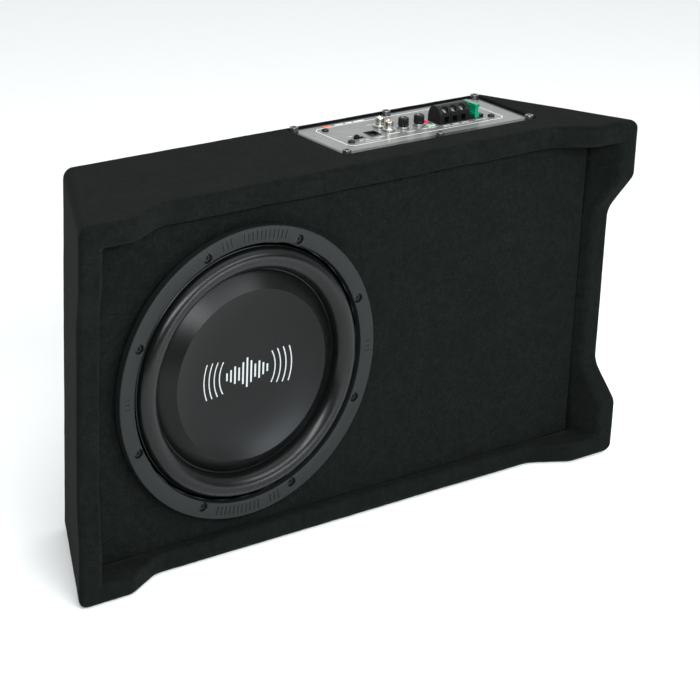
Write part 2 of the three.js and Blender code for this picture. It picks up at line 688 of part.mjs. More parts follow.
function terminalBlock() {
  const { x0, x1, y0, y1 } = TERMINAL;
  const middle = (y0 + y1) / 2;
  const radius = (y1 - y0) / 2;
  const domeRise = terminalTop - PLATE_TOP - 5;
  const dome = Array.from({ length: 13 }, (_, k) => {
    const turn = (k * Math.PI) / 12;
    return [middle - radius * Math.cos(turn), PLATE_TOP + 5 + domeRise * Math.sin(turn)];
  }).reverse();
  const body = drawn([[y0, boardRest], [y1, boardRest], ...dome], x0, x1);
  const wells = terminalCentres.map((x) => tilted(rod(3.4, -4, 12, 16), x, 0));
  const entries = terminalCentres.map((x) => block(
    [x - 2.7, x + 2.7], [y0 - 1, y0 + 11], [PLATE_TOP + 1, PLATE_TOP + 6.4],
  ));
  const grooves = [-0.5, 0.5].map((k) => {
    const x = (x0 + x1) / 2 + k * TERMINAL.pitch;
    return block([x - 0.5, x + 0.5], [y0 - 1, y0 + 0.9], [PLATE_TOP + 0.5, terminalTop + 1]);
  });
  return cut(body, ...wells, ...entries, ...grooves);
}
piece('terminal_block', terminalBlock(), 'blackPlastic');

terminalCentres.forEach((x, k) => {
  const screw = cut(
    turned([[0, 0], [3, 0], [3, 1.9], [2.7, 2.2], [0, 2.2]], 16),
    block([-3.5, 3.5], [-0.4, 0.4], [1.2, 3]),
  );
  piece(`terminal_screw_${k + 1}`, tilted(screw, x, 4 - GAP), 'steel');
});

const holderTop = PLATE_TOP + 3;
const slot = [FUSE.thickness / 2 + 0.4, FUSE.width / 2 + 0.4];
const fuseHolder = cut(
  block(holderX, holderY, [boardRest, holderTop]),
  block(
    [FUSE.x - slot[0], FUSE.x + slot[0]], [FUSE.y - slot[1], FUSE.y + slot[1]],
    [PLATE_TOP + 0.4, holderTop + 1],
  ),
  ...[-1, 1].map((side) => block(
    [FUSE.x - 0.8, FUSE.x + 0.8],
    [FUSE.y + side * 6 - 3.2, FUSE.y + side * 6 + 3.2],
    [PLATE_TOP - 11, PLATE_TOP + 2],
  )),
);
piece('fuse_holder', fuseHolder, 'blackPlastic');

const fuseFoot = PLATE_TOP + 0.7;
const fuse = join(
  block(
    [FUSE.x - FUSE.thickness / 2, FUSE.x + FUSE.thickness / 2],
    [FUSE.y - FUSE.width / 2, FUSE.y + FUSE.width / 2],
    [fuseFoot, fuseFoot + 4.5],
  ),
  block(
    [FUSE.x - FUSE.thickness / 2 + 0.7, FUSE.x + FUSE.thickness / 2 - 0.7],
    [FUSE.y - FUSE.width / 2 + 1, FUSE.y + FUSE.width / 2 - 1],
    [fuseFoot + 4, fuseFoot + 12],
  ),
  block(
    [FUSE.x - FUSE.thickness / 2, FUSE.x + FUSE.thickness / 2],
    [FUSE.y - FUSE.width / 2, FUSE.y + FUSE.width / 2],
    [fuseFoot + 9.5, fuseFoot + 12.5],
  ),
  ...[-1, 1].map((side) => block(
    [FUSE.x - 0.4, FUSE.x + 0.4],
    [FUSE.y + side * 6 - 2.7, FUSE.y + side * 6 + 2.7],
    [fuseFoot - 7.5, fuseFoot + 1],
  )),
);
piece('fuse', fuse, 'greenPlastic');

export default subwoofer;
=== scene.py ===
import json
import math

import bmesh
import bpy
import numpy as np
from mathutils import Matrix, Vector, noise


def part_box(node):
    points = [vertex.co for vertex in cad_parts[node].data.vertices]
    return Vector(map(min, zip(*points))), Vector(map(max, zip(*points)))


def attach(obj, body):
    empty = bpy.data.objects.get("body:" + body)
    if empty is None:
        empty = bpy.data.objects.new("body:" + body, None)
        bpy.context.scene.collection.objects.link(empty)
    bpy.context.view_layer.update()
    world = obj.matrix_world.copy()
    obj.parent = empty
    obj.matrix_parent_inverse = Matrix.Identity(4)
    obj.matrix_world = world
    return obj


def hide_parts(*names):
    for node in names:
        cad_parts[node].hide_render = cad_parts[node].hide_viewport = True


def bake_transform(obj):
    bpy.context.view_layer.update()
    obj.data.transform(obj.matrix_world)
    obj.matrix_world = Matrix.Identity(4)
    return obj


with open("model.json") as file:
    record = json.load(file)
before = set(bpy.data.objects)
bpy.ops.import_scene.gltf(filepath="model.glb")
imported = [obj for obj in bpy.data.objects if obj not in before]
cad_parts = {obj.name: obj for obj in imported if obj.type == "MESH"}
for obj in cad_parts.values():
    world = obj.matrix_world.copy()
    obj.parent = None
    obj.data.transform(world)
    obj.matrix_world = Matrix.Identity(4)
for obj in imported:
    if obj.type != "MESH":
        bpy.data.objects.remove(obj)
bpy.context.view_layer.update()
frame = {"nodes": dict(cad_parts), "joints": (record.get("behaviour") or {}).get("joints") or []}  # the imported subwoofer: it stands on z = 0 and its driver faces -Y

scene = bpy.context.scene
MM = 0.001

# ---- Places, from the frame ----

wrap_low, wrap_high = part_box("carpet_wrap")
FRONT = wrap_low.y  # plane of the four feet
HALF_WIDTH = wrap_high.x  # at the front
HEIGHT = wrap_high.z
back_low, back_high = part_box("carpet_back")
BACK = back_high.y
SLOPE = (HALF_WIDTH - back_high.x) / (back_low.y - FRONT)  # of the side walls, which lean in
baffle_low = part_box("carpet_baffle")[0]
BAFFLE_Y = baffle_low.y
WALL = baffle_low.z - 0.3 * MM  # thickness of a wall with its carpet

ring_low, ring_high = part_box("trim_ring")
DRIVER = Vector(((ring_low.x + ring_high.x) / 2, ring_low.y, (ring_low.z + ring_high.z) / 2))
RING_RADIUS = (ring_high.x - ring_low.x) / 2
BOLT_RADIUS = 122 * MM
BOLT_ANGLES = [math.radians(22.5 + 45 * k) for k in range(8)]

plate_low, plate_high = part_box("amp_plate")
PLATE_TOP = plate_high.z


def middle(node):
    low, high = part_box(node)
    return (low + high) / 2


# ---- Camera ----

def make_camera():
    target = Vector((29.2, 0, 138.6)) * MM
    azimuth, elevation, roll = math.radians(-38.41), math.radians(21.91), math.radians(2.44)
    distance = 2.1964
    data = bpy.data.cameras.new("camera")
    data.sensor_width = 36
    data.lens = 124.85
    camera = bpy.data.objects.new("camera", data)
    scene.collection.objects.link(camera)
    level = math.cos(elevation)
    back = Vector((math.sin(azimuth) * level, -math.cos(azimuth) * level, math.sin(elevation)))
    camera.location = target + back * distance
    facing = (-back).to_track_quat("-Z", "Y").to_matrix()
    turned_view = facing @ Matrix.Rotation(roll, 3, "Z")
    camera.rotation_euler = turned_view.to_euler()
    scene.camera = camera


make_camera()


# ---- Materials ----

class Look:
    """A procedural material: a Principled shader and its textures, in the row frame."""

    def __init__(self, name, colour, roughness, **sockets):
        self.material = bpy.data.materials.new(name)
        self.material.use_nodes = True
        self.tree = self.material.node_tree
        self.shader = self.tree.nodes["Principled BSDF"]
        self.colour = (*colour, 1)
        self.height = None
        self.shader.inputs["Base Color"].default_value = self.colour
        self.shader.inputs["Roughness"].default_value = roughness
        for socket, value in sockets.items():
            self.shader.inputs[socket.replace("_", " ")].default_value = value

    def feed(self, value, socket):
        if isinstance(value, bpy.types.NodeSocket):
            self.tree.links.new(value, socket)
        else:
            socket.default_value = value

    def node(self, kind, inputs, **settings):
        made = self.tree.nodes.new("ShaderNode" + kind)
        for key, value in settings.items():
            setattr(made, key, value)
        for key, value in inputs.items():
            self.feed(value, made.inputs[key])
        return made

    def calculate(self, operation, *values):
        return self.node("Math", dict(enumerate(values)), operation=operation).outputs[0]

    def place(self, stretch=(1, 1, 1), turn=(0, 0, 0)):
        here = self.node("TexCoord", {}).outputs["Object"]
        return self.node("Mapping", {"Vector": here, "Scale": stretch, "Rotation": turn}).outputs[0]

    def noise(self, size, detail=4.0, rough=0.55, stretch=(1, 1, 1), turn=(0, 0, 0)):
        inputs = {"Vector": self.place(stretch, turn), "Scale": 1 / size, "Detail": detail,
                  "Roughness": rough}
        return self.node("TexNoise", inputs).outputs[0]

    def cells(self, size, feature="F1", stretch=(1, 1, 1)):
        inputs = {"Vector": self.place(stretch), "Scale": 1 / size}
        return self.node("TexVoronoi", inputs, feature=feature).outputs["Distance"]

    def bands(self, pitch, direction="X", distortion=0.0):
        """Waves, one to each pitch. At a scale of 1 the texture has one in 0.3142."""
        inputs = {"Vector": self.place(), "Scale": 0.3142 / pitch, "Distortion": distortion}
        return self.node("TexWave", inputs, bands_direction=direction).outputs["Fac"]

    def remap(self, value, low, high, to_low=0.0, to_high=1.0):
        inputs = {"Value": value, "From Min": low, "From Max": high, "To Min": to_low,
                  "To Max": to_high}
        return self.node("MapRange", inputs).outputs[0]

    def sum(self, *terms):
        """The sum of pairs (weight, value)."""
        total = 0.0
        for weight, value in terms:
            total = self.calculate("MULTIPLY_ADD", value, weight, total)
        return total

    def mix(self, factor, first, second):
        blend = self.tree.nodes.new("ShaderNodeMix")
        blend.data_type = "RGBA"
        self.feed(factor, blend.inputs[0])
        self.feed(first, blend.inputs[6])
        self.feed(second, blend.inputs[7])
        return blend.outputs[2]

    def paint(self, factor, other):
        """Turns the base colour towards another one where the factor is 1."""
        other = (*other, 1) if isinstance(other, tuple) else other
        self.colour = self.mix(factor, self.colour, other)
        self.feed(self.colour, self.shader.inputs["Base Color"])
        return self

    def wear(self, value, low, high):
        """Lets the roughness run from low to high with a value from 0 to 1."""
        self.feed(self.remap(value, 0.3, 0.7, low, high), self.shader.inputs["Roughness"])
        return self

    def relief(self, value, height, strength=1.0):
        """Adds a bump of the given height, in metres."""
        inputs = {"Strength": strength, "Distance": height, "Height": value}
        if self.height is not None:
            inputs["Normal"] = self.height
        self.height = self.node("Bump", inputs).outputs[0]
        self.feed(self.height, self.shader.inputs["Normal"])
        return self


def shade(colour, factor):
    return tuple(min(1.0, channel * factor) for channel in colour)


def grained(name, colour, roughness, grain, height, contrast=0.15, spread=0.06, **sockets):
    """A finish with a fine grain, broad variation of colour and slightly uneven gloss."""
    look = Look(name, colour, roughness, **sockets)
    fine = look.noise(grain, 5, 0.6)
    broad = look.noise(40 * MM, 3, 0.5)
    look.paint(look.remap(broad, 0.3, 0.7), shade(colour, 1 + contrast))
    look.paint(look.remap(fine, 0.45, 0.75, 0, 0.5), shade(colour, 1 - 1.5 * contrast))
    look.wear(look.sum((0.5, fine), (0.5, broad)), roughness - spread, roughness + spread)
    return look.relief(fine, height)


def carpet_look():
    dark, light = (0.0021, 0.0030, 0.0026), (0.0117, 0.0144, 0.0124)
    look = Look("carpet_felt", dark, 0.95, Specular_IOR_Level=0.04, Sheen_Weight=0.012,
                Sheen_Roughness=0.5, Sheen_Tint=(0.86, 0.88, 0.76, 1))
    fibre = look.noise(0.9 * MM, 6, 0.7)
    strands = [look.noise(2.4 * MM, 3, 0.6, stretch, turn) for stretch, turn in (
        ((1, 7, 1), (0.5, 0.2, 0.7)), ((7, 1, 1), (0.2, 0.6, 0.4)), ((1, 1, 7), (0.4, 0.8, 0.3)),
    )]
    nap = look.sum((0.34, fibre), *((0.22, strand) for strand in strands))
    look.paint(look.remap(nap, 0.42, 0.68), light)
    patches = look.noise(7 * MM, 4, 0.7)
    look.paint(look.remap(patches, 0.45, 0.65, 0, 0.5), dark)
    broad = look.noise(28 * MM, 4, 0.6)
    look.paint(look.remap(broad, 0.35, 0.75, 0, 0.45), dark)
    lint = look.remap(look.noise(1.7 * MM, 2, 0.5), 0.72, 0.78, 0, 0.5)
    look.paint(lint, (0.045, 0.050, 0.046))
    look.relief(broad, 0.6 * MM, 0.35)
    return look.relief(nap, 0.7 * MM, 0.8)


def winding_look(name, colour, direction, pitch):
    look = Look(name, colour, 0.32, Metallic=0.85)
    turns = look.bands(pitch, direction, 0.6)
    look.paint(look.remap(turns, 0.1, 0.5, 0.8, 0), shade(colour, 0.25))
    look.wear(look.noise(3 * MM), 0.25, 0.42)
    return look.relief(turns, 0.2 * MM)


def weave_look(name, colour, pitch):
    look = Look(name, colour, 0.85, Sheen_Weight=0.2)
    warp, weft = look.bands(pitch, "X", 0.3), look.bands(pitch, "Z", 0.3)
    cloth = look.sum((0.5, warp), (0.5, weft))
    look.paint(look.remap(cloth, 0.2, 0.7, 0.7, 0), shade(colour, 0.45))
    return look.relief(cloth, 0.15 * MM)


def fibreboard_look():
    look = grained("fibreboard", (0.36, 0.24, 0.13), 0.85, 0.8 * MM, 0.1 * MM, 0.2)
    chips = look.remap(look.noise(1.6 * MM, 3, 0.6, (1, 3, 1)), 0.6, 0.7, 0, 0.6)
    return look.paint(chips, (0.52, 0.40, 0.26))


def circuit_look():
    look = grained("circuit_board", (0.012, 0.09, 0.04), 0.35, 1.2 * MM, 0.02 * MM)
    tracks = look.remap(look.cells(6 * MM, "DISTANCE_TO_EDGE", (1, 1, 0.1)), 0.08, 0.10, 0.7, 0)
    look.paint(tracks, (0.03, 0.22, 0.09))
    pads = look.remap(look.cells(5 * MM), 0.16, 0.19, 0.9, 0)
    return look.paint(pads, (0.62, 0.60, 0.55)).relief(tracks, 0.05 * MM)


def brushed_look(name, colour, roughness, stretch):
    look = Look(name, colour, roughness, Metallic=1.0)
    lines = look.noise(2.5 * MM, 4, 0.6, stretch)
    look.paint(look.remap(lines, 0.35, 0.65, 0, 0.5), shade(colour, 0.72))
    look.wear(lines, roughness - 0.08, roughness + 0.1)
    return look.relief(lines, 0.01 * MM)


def plate_look(screws):
    """Black paint with a silver printed field, which stops short of the screws. The black band at
    the front is wider than the real border: the extra width is painted shade, where the carpet's
    raised edge shades the plate.
    """
    silver = (0.136, 0.136, 0.130)
    look = grained("amp_plate_paint", (0.008, 0.009, 0.009), 0.3, 0.5 * MM, 0.01 * MM)
    # The front margin in Y is partly the real black border and partly painted shade from the
    # carpet's raised edge.
    border_and_front_shade = ((6.5 * MM, 5 * MM), (10 * MM, 4.2 * MM))  # in X, and in Y
    blur = 0.1 * MM
    here = look.node("SeparateXYZ", {"Vector": look.place()})
    inside = 1.0
    for axis, (before, after) in enumerate(border_and_front_shade):
        low, high = plate_low[axis] + before, plate_high[axis] - after
        off = look.calculate("SUBTRACT", here.outputs[axis], (low + high) / 2)
        far = look.calculate("ABSOLUTE", off)
        edge = (high - low) / 2
        within = look.remap(far, edge - blur, edge + blur, 1, 0)
        inside = look.calculate("MULTIPLY", inside, within)
    for screw in screws:
        apart = look.node("VectorMath", {0: look.place((1, 1, 0)), 1: (screw.x, screw.y, 0)},
                          operation="DISTANCE").outputs["Value"]
        clear = look.remap(apart, 4.6 * MM, 4.8 * MM)
        inside = look.calculate("MULTIPLY", inside, clear)
    fleck = look.remap(look.noise(0.45 * MM, 3, 0.6), 0.35, 0.7)
    cloud = look.remap(look.noise(24 * MM, 3, 0.5), 0.3, 0.7)
    field = look.mix(fleck, (*shade(silver, 0.8), 1), (*shade(silver, 1.15), 1))
    field = look.mix(look.sum((0.45, cloud)), field, (*shade(silver, 1.5), 1))
    return look.paint(inside, field)


def clear_look(name, colour, transmission, **sockets):
    look = Look(name, colour, 0.12, Transmission_Weight=transmission, IOR=1.5, **sockets)
    swirl = look.noise(5 * MM, 3, 0.5)
    look.paint(look.remap(swirl, 0.35, 0.7, 0, 0.4), shade(colour, 0.7))
    return look.wear(swirl, 0.1, 0.24)


PLATE_SCREWS = [middle(f"plate_screw_{k}") for k in range(1, 7)]

carpet = carpet_look()
board = fibreboard_look()
ring_paint = grained("ring_satin_paint", (0.0074, 0.0092, 0.0088), 0.42, 0.35 * MM, 0.012 * MM,
                     0.06, Specular_IOR_Level=0.17)
rubber = grained("surround_rubber", (0.0026, 0.0032, 0.0031), 0.29, 0.5 * MM, 0.01 * MM, 0.08,
                 0.04, Specular_IOR_Level=0.24)
cone_plastic = grained("cap_satin", (0.0026, 0.0032, 0.0030), 0.30, 0.3 * MM, 0.005 * MM, 0.05,
                       0.04, Specular_IOR_Level=0.15)
cone_pulp = grained("cone_pulp", (0.018, 0.019, 0.020), 0.75, 0.9 * MM, 0.08 * MM, 0.2)
foam = grained("closed_foam", (0.010, 0.010, 0.010), 0.95, 0.6 * MM, 0.15 * MM, 0.3)
powder_coat = grained("powder_coat", (0.014, 0.014, 0.015), 0.55, 0.9 * MM, 0.05 * MM, 0.15)
screw_black = grained("screw_black", (0.005, 0.005, 0.0055), 0.45, 0.4 * MM, 0.01 * MM, 0.2,
                      Specular_IOR_Level=0.3)
black_oxide = grained("black_oxide", (0.16, 0.16, 0.165), 0.26, 0.4 * MM, 0.01 * MM, 0.2,
                      Metallic=0.9)
black_plastic = grained("black_moulding", (0.0042, 0.0045, 0.0047), 0.38, 0.35 * MM, 0.015 * MM,
                        0.15, Specular_IOR_Level=0.25)
cable_rubber = grained("cable_sheath", (0.012, 0.012, 0.013), 0.6, 0.8 * MM, 0.03 * MM, 0.2)
ferrite = grained("ferrite", (0.022, 0.022, 0.024), 0.7, 0.5 * MM, 0.05 * MM, 0.3)
nickel = brushed_look("nickel_plate", (0.58, 0.565, 0.53), 0.26, (1, 1, 9))
zinc = brushed_look("zinc_plate", (0.55, 0.56, 0.56), 0.34, (6, 1, 1))
copper = winding_look("copper_winding", (0.46, 0.17, 0.07), "Y", 0.5 * MM)
toroid_wire = winding_look("toroid_winding", (0.46, 0.17, 0.07), "X", 1.1 * MM)
spider_weave = weave_look("spider_weave", (0.36, 0.26, 0.09), 0.9 * MM)
circuit = circuit_look()
plate_paint = plate_look(PLATE_SCREWS)
white_plastic = grained("white_moulding", (0.78, 0.77, 0.73), 0.3, 0.5 * MM, 0.01 * MM, 0.06)
orange_plastic = grained("orange_moulding", (0.75, 0.20, 0.045), 0.3, 0.5 * MM, 0.01 * MM, 0.06)
pale_green = grained("pale_green_moulding", (0.40, 0.56, 0.46), 0.4, 0.5 * MM, 0.01 * MM, 0.08)
green_clear = clear_look("green_fuse", (0.0, 0.36, 0.17), 0.35)
red_clear = clear_look("red_lens", (0.75, 0.015, 0.09), 0.3, Emission_Color=(0.9, 0.02, 0.1, 1),
                       Emission_Strength=0.25)
white_ink = grained("white_ink", (0.72, 0.72, 0.70), 0.5, 0.3 * MM, 0.004 * MM, 0.08)
grey_ink = grained("grey_ink", (0.36, 0.38, 0.38), 0.45, 0.3 * MM, 0.004 * MM, 0.08)
red_ink = grained("red_ink", (0.78, 0.12, 0.045), 0.5, 0.3 * MM, 0.004 * MM, 0.08)


# ---- Mesh helpers. A shape is (points, faces). ----

def about(origin, axis, start=None):
    """A function that puts (u, v, h) at the origin plus u and v across an axis and h along it."""
    along = Vector(axis).normalized()
    first = Vector(start) if start else Vector((1, 0, 0)) - along * along.x
    first.normalize()
    second = along.cross(first)
    return lambda u, v, h: Vector(origin) + first * u + second * v + along * h


def turned(profile, segments, place, closed=False):
    """A turned shape. A profile point is (radius, height), and a radius may depend on the angle."""
    points, loops = [], []
    for radius, height in profile:
        start = len(points)
        if not callable(radius) and radius == 0:
            points.append(place(0, 0, height))
            loops.append([start] * segments)
            continue
        for k in range(segments):
            angle = 2 * math.pi * k / segments
            reach = radius(angle) if callable(radius) else radius
            points.append(place(reach * math.cos(angle), reach * math.sin(angle), height))
        loops.append(list(range(start, start + segments)))
    faces = []
    pairs = list(zip(loops, loops[1:])) + ([(loops[-1], loops[0])] if closed else [])
    for near, far in pairs:
        for k in range(segments):
            after = (k + 1) % segments
            face = (near[k], near[after], far[after], far[k])
            faces.append(tuple(dict.fromkeys(face)))
    return points, faces


def grid(points):
    """A shape from rows of points, each row closed on itself."""
    rows, columns = len(points), len(points[0])
    faces = [
        (r * columns + c, (r + 1) * columns + c, (r + 1) * columns + (c + 1) % columns,
         r * columns + (c + 1) % columns)
        for r in range(rows - 1) for c in range(columns)
    ]
    return [p for row in points for p in row], faces


def gathered(*shapes):
    points, faces = [], []
    for more_points, more_faces in shapes:
        start = len(points)
        points += more_points
        faces += [tuple(i + start for i in face) for face in more_faces]
    return points, faces


def block(low, high, edge):
    """A box with rounded edges."""
    low, high = Vector(low), Vector(high)
    made = bmesh.new()
    bmesh.ops.create_cube(made, size=1)
    for vertex in made.verts:
        vertex.co = [(low[a] + high[a]) / 2 + vertex.co[a] * (high[a] - low[a]) for a in range(3)]
    bmesh.ops.bevel(made, geom=made.edges[:], offset=edge, segments=2, profile=0.5,
                    affect="EDGES")
    made.verts.index_update()
    shape = [v.co.copy() for v in made.verts], [tuple(v.index for v in f.verts) for f in made.faces]
    made.free()
    return shape


def bar(corners, low, high, place):
    """A shape with a four-sided outline, from one height to another."""
    points = [place(u, v, h) for h in (low, high) for u, v in corners]
    sides = [(k, k + 4, (k + 1) % 4 + 4, (k + 1) % 4) for k in range(4)]
    return points, [(0, 1, 2, 3), (7, 6, 5, 4)] + sides


def strip(path, width, thickness, rise):
    """A thin flat strip along points of a plane, lifted into the row frame by rise(u, v, h)."""
    line = [Vector(p).to_2d() for p in path]
    points, faces = [], []
    for k, here in enumerate(line):
        ahead = (line[min(k + 1, len(line) - 1)] - line[max(k - 1, 0)]).normalized()
        side = Vector((-ahead.y, ahead.x)) * width / 2
        for edge, height in ((side, 0), (side, thickness), (-side, thickness), (-side, 0)):
            points.append(rise(*(here + edge), height))
        if k:
            a, b = 4 * (k - 1), 4 * k
            faces += [(a + i, a + (i + 1) % 4, b + (i + 1) % 4, b + i) for i in range(4)]
    end = 4 * (len(line) - 1)
    return points, faces + [(3, 2, 1, 0), (end, end + 1, end + 2, end + 3)]


def arc(radius, start, end, steps):
    """Points of an arc about (0, 0), with its angles in degrees."""
    angles = [math.radians(start + (end - start) * k / steps) for k in range(steps + 1)]
    return [(radius * math.cos(a), radius * math.sin(a)) for a in angles]


def linked(name, mesh, look):
    mesh.materials.append(look.material)
    made = bpy.data.objects.new(name, mesh)
    scene.collection.objects.link(made)
    return made


def new_object(name, shape, look, outward=True):
    points, faces = shape
    mesh = bpy.data.meshes.new(name)
    mesh.from_pydata(points, [], faces)
    if outward:
        work = bmesh.new()
        work.from_mesh(mesh)
        bmesh.ops.recalc_face_normals(work, faces=work.faces[:])
        work.to_mesh(mesh)
        work.free()
    return linked(name, mesh, look)


def settle(made, sharp, body, slot, stands_for=()):
    """Shades a finished piece, hangs it on its body, and hides the nodes that it stands for."""
    made.data.shade_smooth()
    made.data.set_sharp_from_angle(angle=math.radians(sharp))
    if body:
        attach(made, body)
    if stands_for:
        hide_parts(*stands_for)


def piece(name, shape, look, slot, stands_for=(), body="box", sharp=32):
    settle(new_object(name, shape, look), sharp, body, slot, stands_for)


def carve(target, cutters):
    """Cuts shapes out of an object's mesh."""
    tool = new_object("cutter", cutters, carpet)
    cut = target.modifiers.new("cut", "BOOLEAN")
    cut.operation, cut.object, cut.solver = "DIFFERENCE", tool, "EXACT"
    bpy.context.view_layer.update()
    seen = target.evaluated_get(bpy.context.evaluated_depsgraph_get())
    target.data = bpy.data.meshes.new_from_object(seen)
    target.modifiers.clear()
    bpy.data.objects.remove(tool)


def refined(node, look, slot, edge, name=None, body="box", floor=None):
    """A copy of a CAD node's shape with its edges rounded, which stands for the node. What lies
    below the floor, if there is one, is cut off."""
    work = bmesh.new()
    work.from_mesh(frame["nodes"][node].data)
    bmesh.ops.remove_doubles(work, verts=work.verts[:], dist=0.002 * MM)
    if floor is not None:
        everything = work.verts[:] + work.edges[:] + work.faces[:]
        bmesh.ops.bisect_plane(work, geom=everything, dist=0.001 * MM, plane_co=(0, 0, floor),
                               plane_no=(0, 0, 1), clear_inner=True)
        rim = [e for e in work.edges if e.is_boundary]
        bmesh.ops.holes_fill(work, edges=rim)
    flat, corner = math.radians(1), math.radians(28)
    bmesh.ops.dissolve_limit(work, angle_limit=flat, verts=work.verts[:], edges=work.edges[:])
    corners = [e for e in work.edges if len(e.link_faces) == 2 and e.calc_face_angle() > corner]
    bmesh.ops.bevel(work, geom=corners, offset=edge, segments=2, profile=0.5, affect="EDGES",
                    clamp_overlap=True)
    mesh = bpy.data.meshes.new(name or node)
    work.to_mesh(mesh)
    work.free()
    # A low angle keeps the large flat faces evenly shaded beside their rounded edges.
    settle(linked(name or node + "_finish", mesh, look), 20, body, slot, (node,))


# ---- Carpet ----

CORNER = 9 * MM  # radius of the box's four long edges
FOOT_LENGTH, FOOT_RAMP, RIM_SETBACK = 54 * MM, 36 * MM, 20 * MM
OUTER_ROUND, INNER_ROUND, BACK_ROUND = 6.5 * MM, 4 * MM, 6 * MM
BACK_LIP = 12 * MM  # how far the wrapped carpet laps onto the back
CARPET_THICKNESS = 2 * MM


def half_width(y, inset):
    return HALF_WIDTH - SLOPE * (y - FRONT) - inset * math.hypot(1, SLOPE)


def rounded_rise(s, start, blur):
    """max(0, s - start), with its corner rounded over a length of blur to each side."""
    near = (s - start + blur) ** 2 / (4 * blur)
    return np.where(s < start - blur, 0, np.where(s > start + blur, s - start, near))


def rim_depth(s):
    """Depth of the carpeted front at a distance from the corner along a wall: foot, ramp, rim."""
    up = rounded_rise(s, FOOT_LENGTH, 4 * MM) - rounded_rise(s, FOOT_LENGTH + FOOT_RAMP, 8 * MM)
    return FRONT + RIM_SETBACK * up / FOOT_RAMP


def around_box(step):
    """Samples round the box's outline: place on the straight sides, direction on the corners."""
    across, up, corner = int(2 * HALF_WIDTH / step), int(HEIGHT / step), 7
    rows = []
    for quarter, count in enumerate((across, up, across, up)):
        angle = math.pi / 2 - quarter * math.pi / 2
        facing = (round(math.cos(angle)), round(math.sin(angle)))
        ahead = (facing[1], -facing[0])
        for k in range(count):
            along = -1 + 2 * k / count
            rows.append((facing[0] + ahead[0] * along, facing[1] + ahead[1] * along, *facing))
        for k in range(corner):
            turn = angle - (math.pi / 2) * k / corner
            place = facing[0] + ahead[0], facing[1] + ahead[1]
            rows.append((*place, math.cos(turn), math.sin(turn)))
    return np.array(rows).T


def curve(steps, start, end, centre, radius):
    """Profile points (inset, depth) on an arc, with its angles in degrees."""
    turns = np.radians(np.linspace(start, end, steps + 1))
    return [(centre[0] + radius * math.cos(t), centre[1] + radius * math.sin(t)) for t in turns]


def felt_relief(point):
    """How far the felt lies below its highest at a point: lumps, dents and worn patches."""
    lumps = sum(
        weight * noise.noise(Vector(point) / size)
        for weight, size in ((0.22, 62 * MM), (0.12, 19 * MM), (0.06, 6.5 * MM))
    )
    return (0.22 - lumps) * MM


def lay_felt(made):
    """Presses a carpet's lumps into its mesh, along its normals."""
    mesh = made.data
    mesh.update()
    normals = [v.normal.copy() for v in mesh.vertices]
    for vertex, normal in zip(mesh.vertices, normals):
        vertex.co -= normal * felt_relief(vertex.co)
    backing = made.modifiers.new("backing", "SOLIDIFY")
    backing.thickness = CARPET_THICKNESS
    backing.offset = -1


def carpet_profile():
    """From the lip on the back, along the outside and round the rim, to the baffle. Each row is
    the inset, the share of the rim's depth in y, the rest of y, and how loosely the carpet lies."""
    rows = [(BACK_LIP * k / 3, 0, BACK, 0) for k in (3, 2)]
    back_arc = curve(6, 90, 180, (BACK_ROUND, BACK - BACK_ROUND), BACK_ROUND)
    rows += [(inset, 0, y, 0) for inset, y in back_arc]
    wall_steps = 36
    for k in range(1, wall_steps):
        share = k / wall_steps
        rows.append((0, share, share * OUTER_ROUND + (1 - share) * (BACK - BACK_ROUND), 0))
    outer_arc = curve(8, 180, 270, (OUTER_ROUND, OUTER_ROUND), OUTER_ROUND)
    rows += [(inset, 1, y, 0) for inset, y in outer_arc]
    face = WALL - OUTER_ROUND - INNER_ROUND
    rows += [(OUTER_ROUND + face * k / 4, 1, 0, 0.25 * k / 4) for k in range(1, 4)]
    inner_arc = curve(6, 270, 360, (WALL - INNER_ROUND, INNER_ROUND), INNER_ROUND)
    rows += [(inset, 1, y, 0.25 + 0.75 * k / 6) for k, (inset, y) in enumerate(inner_arc)]
    deep = BAFFLE_Y + 0.4 * MM
    for k in range(1, 6):
        share = k / 5
        rows.append((WALL, 1 - share, (1 - share) * INNER_ROUND + share * deep, 1 - 0.8 * share))
    return np.array(rows).T


def carpet_wrap():
    place_x, place_z, face_x, face_z = around_box(3 * MM)
    inset, share, rest, loose = carpet_profile()
    on_side = np.abs(face_x) > 0.999
    # The carpet's inner edge wanders a little, most of all along the top at the right.
    sway = np.array([
        noise.noise(Vector((x * 9.0, z * 5.0, 3.1))) * (1.6 if z > 0.9 and x > 0.1 else 0.8)
        for x, z in zip(place_x, place_z)
    ]) * MM
    inset = inset[:, None] + loose[:, None] * sway[None, :]
    tightest = 2.5 * MM
    radius = np.maximum(CORNER - inset, tightest)
    z = HEIGHT / 2 + place_z * (HEIGHT / 2 - inset - radius) + radius * face_z
    y = np.full_like(inset, FRONT)
    for _ in range(4):  # the depth hangs on x, and x on the depth
        x = place_x * (half_width(y, inset) - radius) + radius * face_x
        from_corner = np.where(on_side, HEIGHT / 2 - np.abs(z - HEIGHT / 2),
                               HALF_WIDTH - np.abs(x))
        y = share[:, None] * rim_depth(from_corner) + rest[:, None]
    rows = np.stack([x, y, z], axis=2)
    shape = grid([[Vector(p) for p in row] for row in rows])
    made = new_object("carpet_wrap_felt", shape, carpet, outward=False)
    lay_felt(made)
    trim_cutout(made)
    settle(made, 60, "box", "carpet", ("carpet_wrap",))


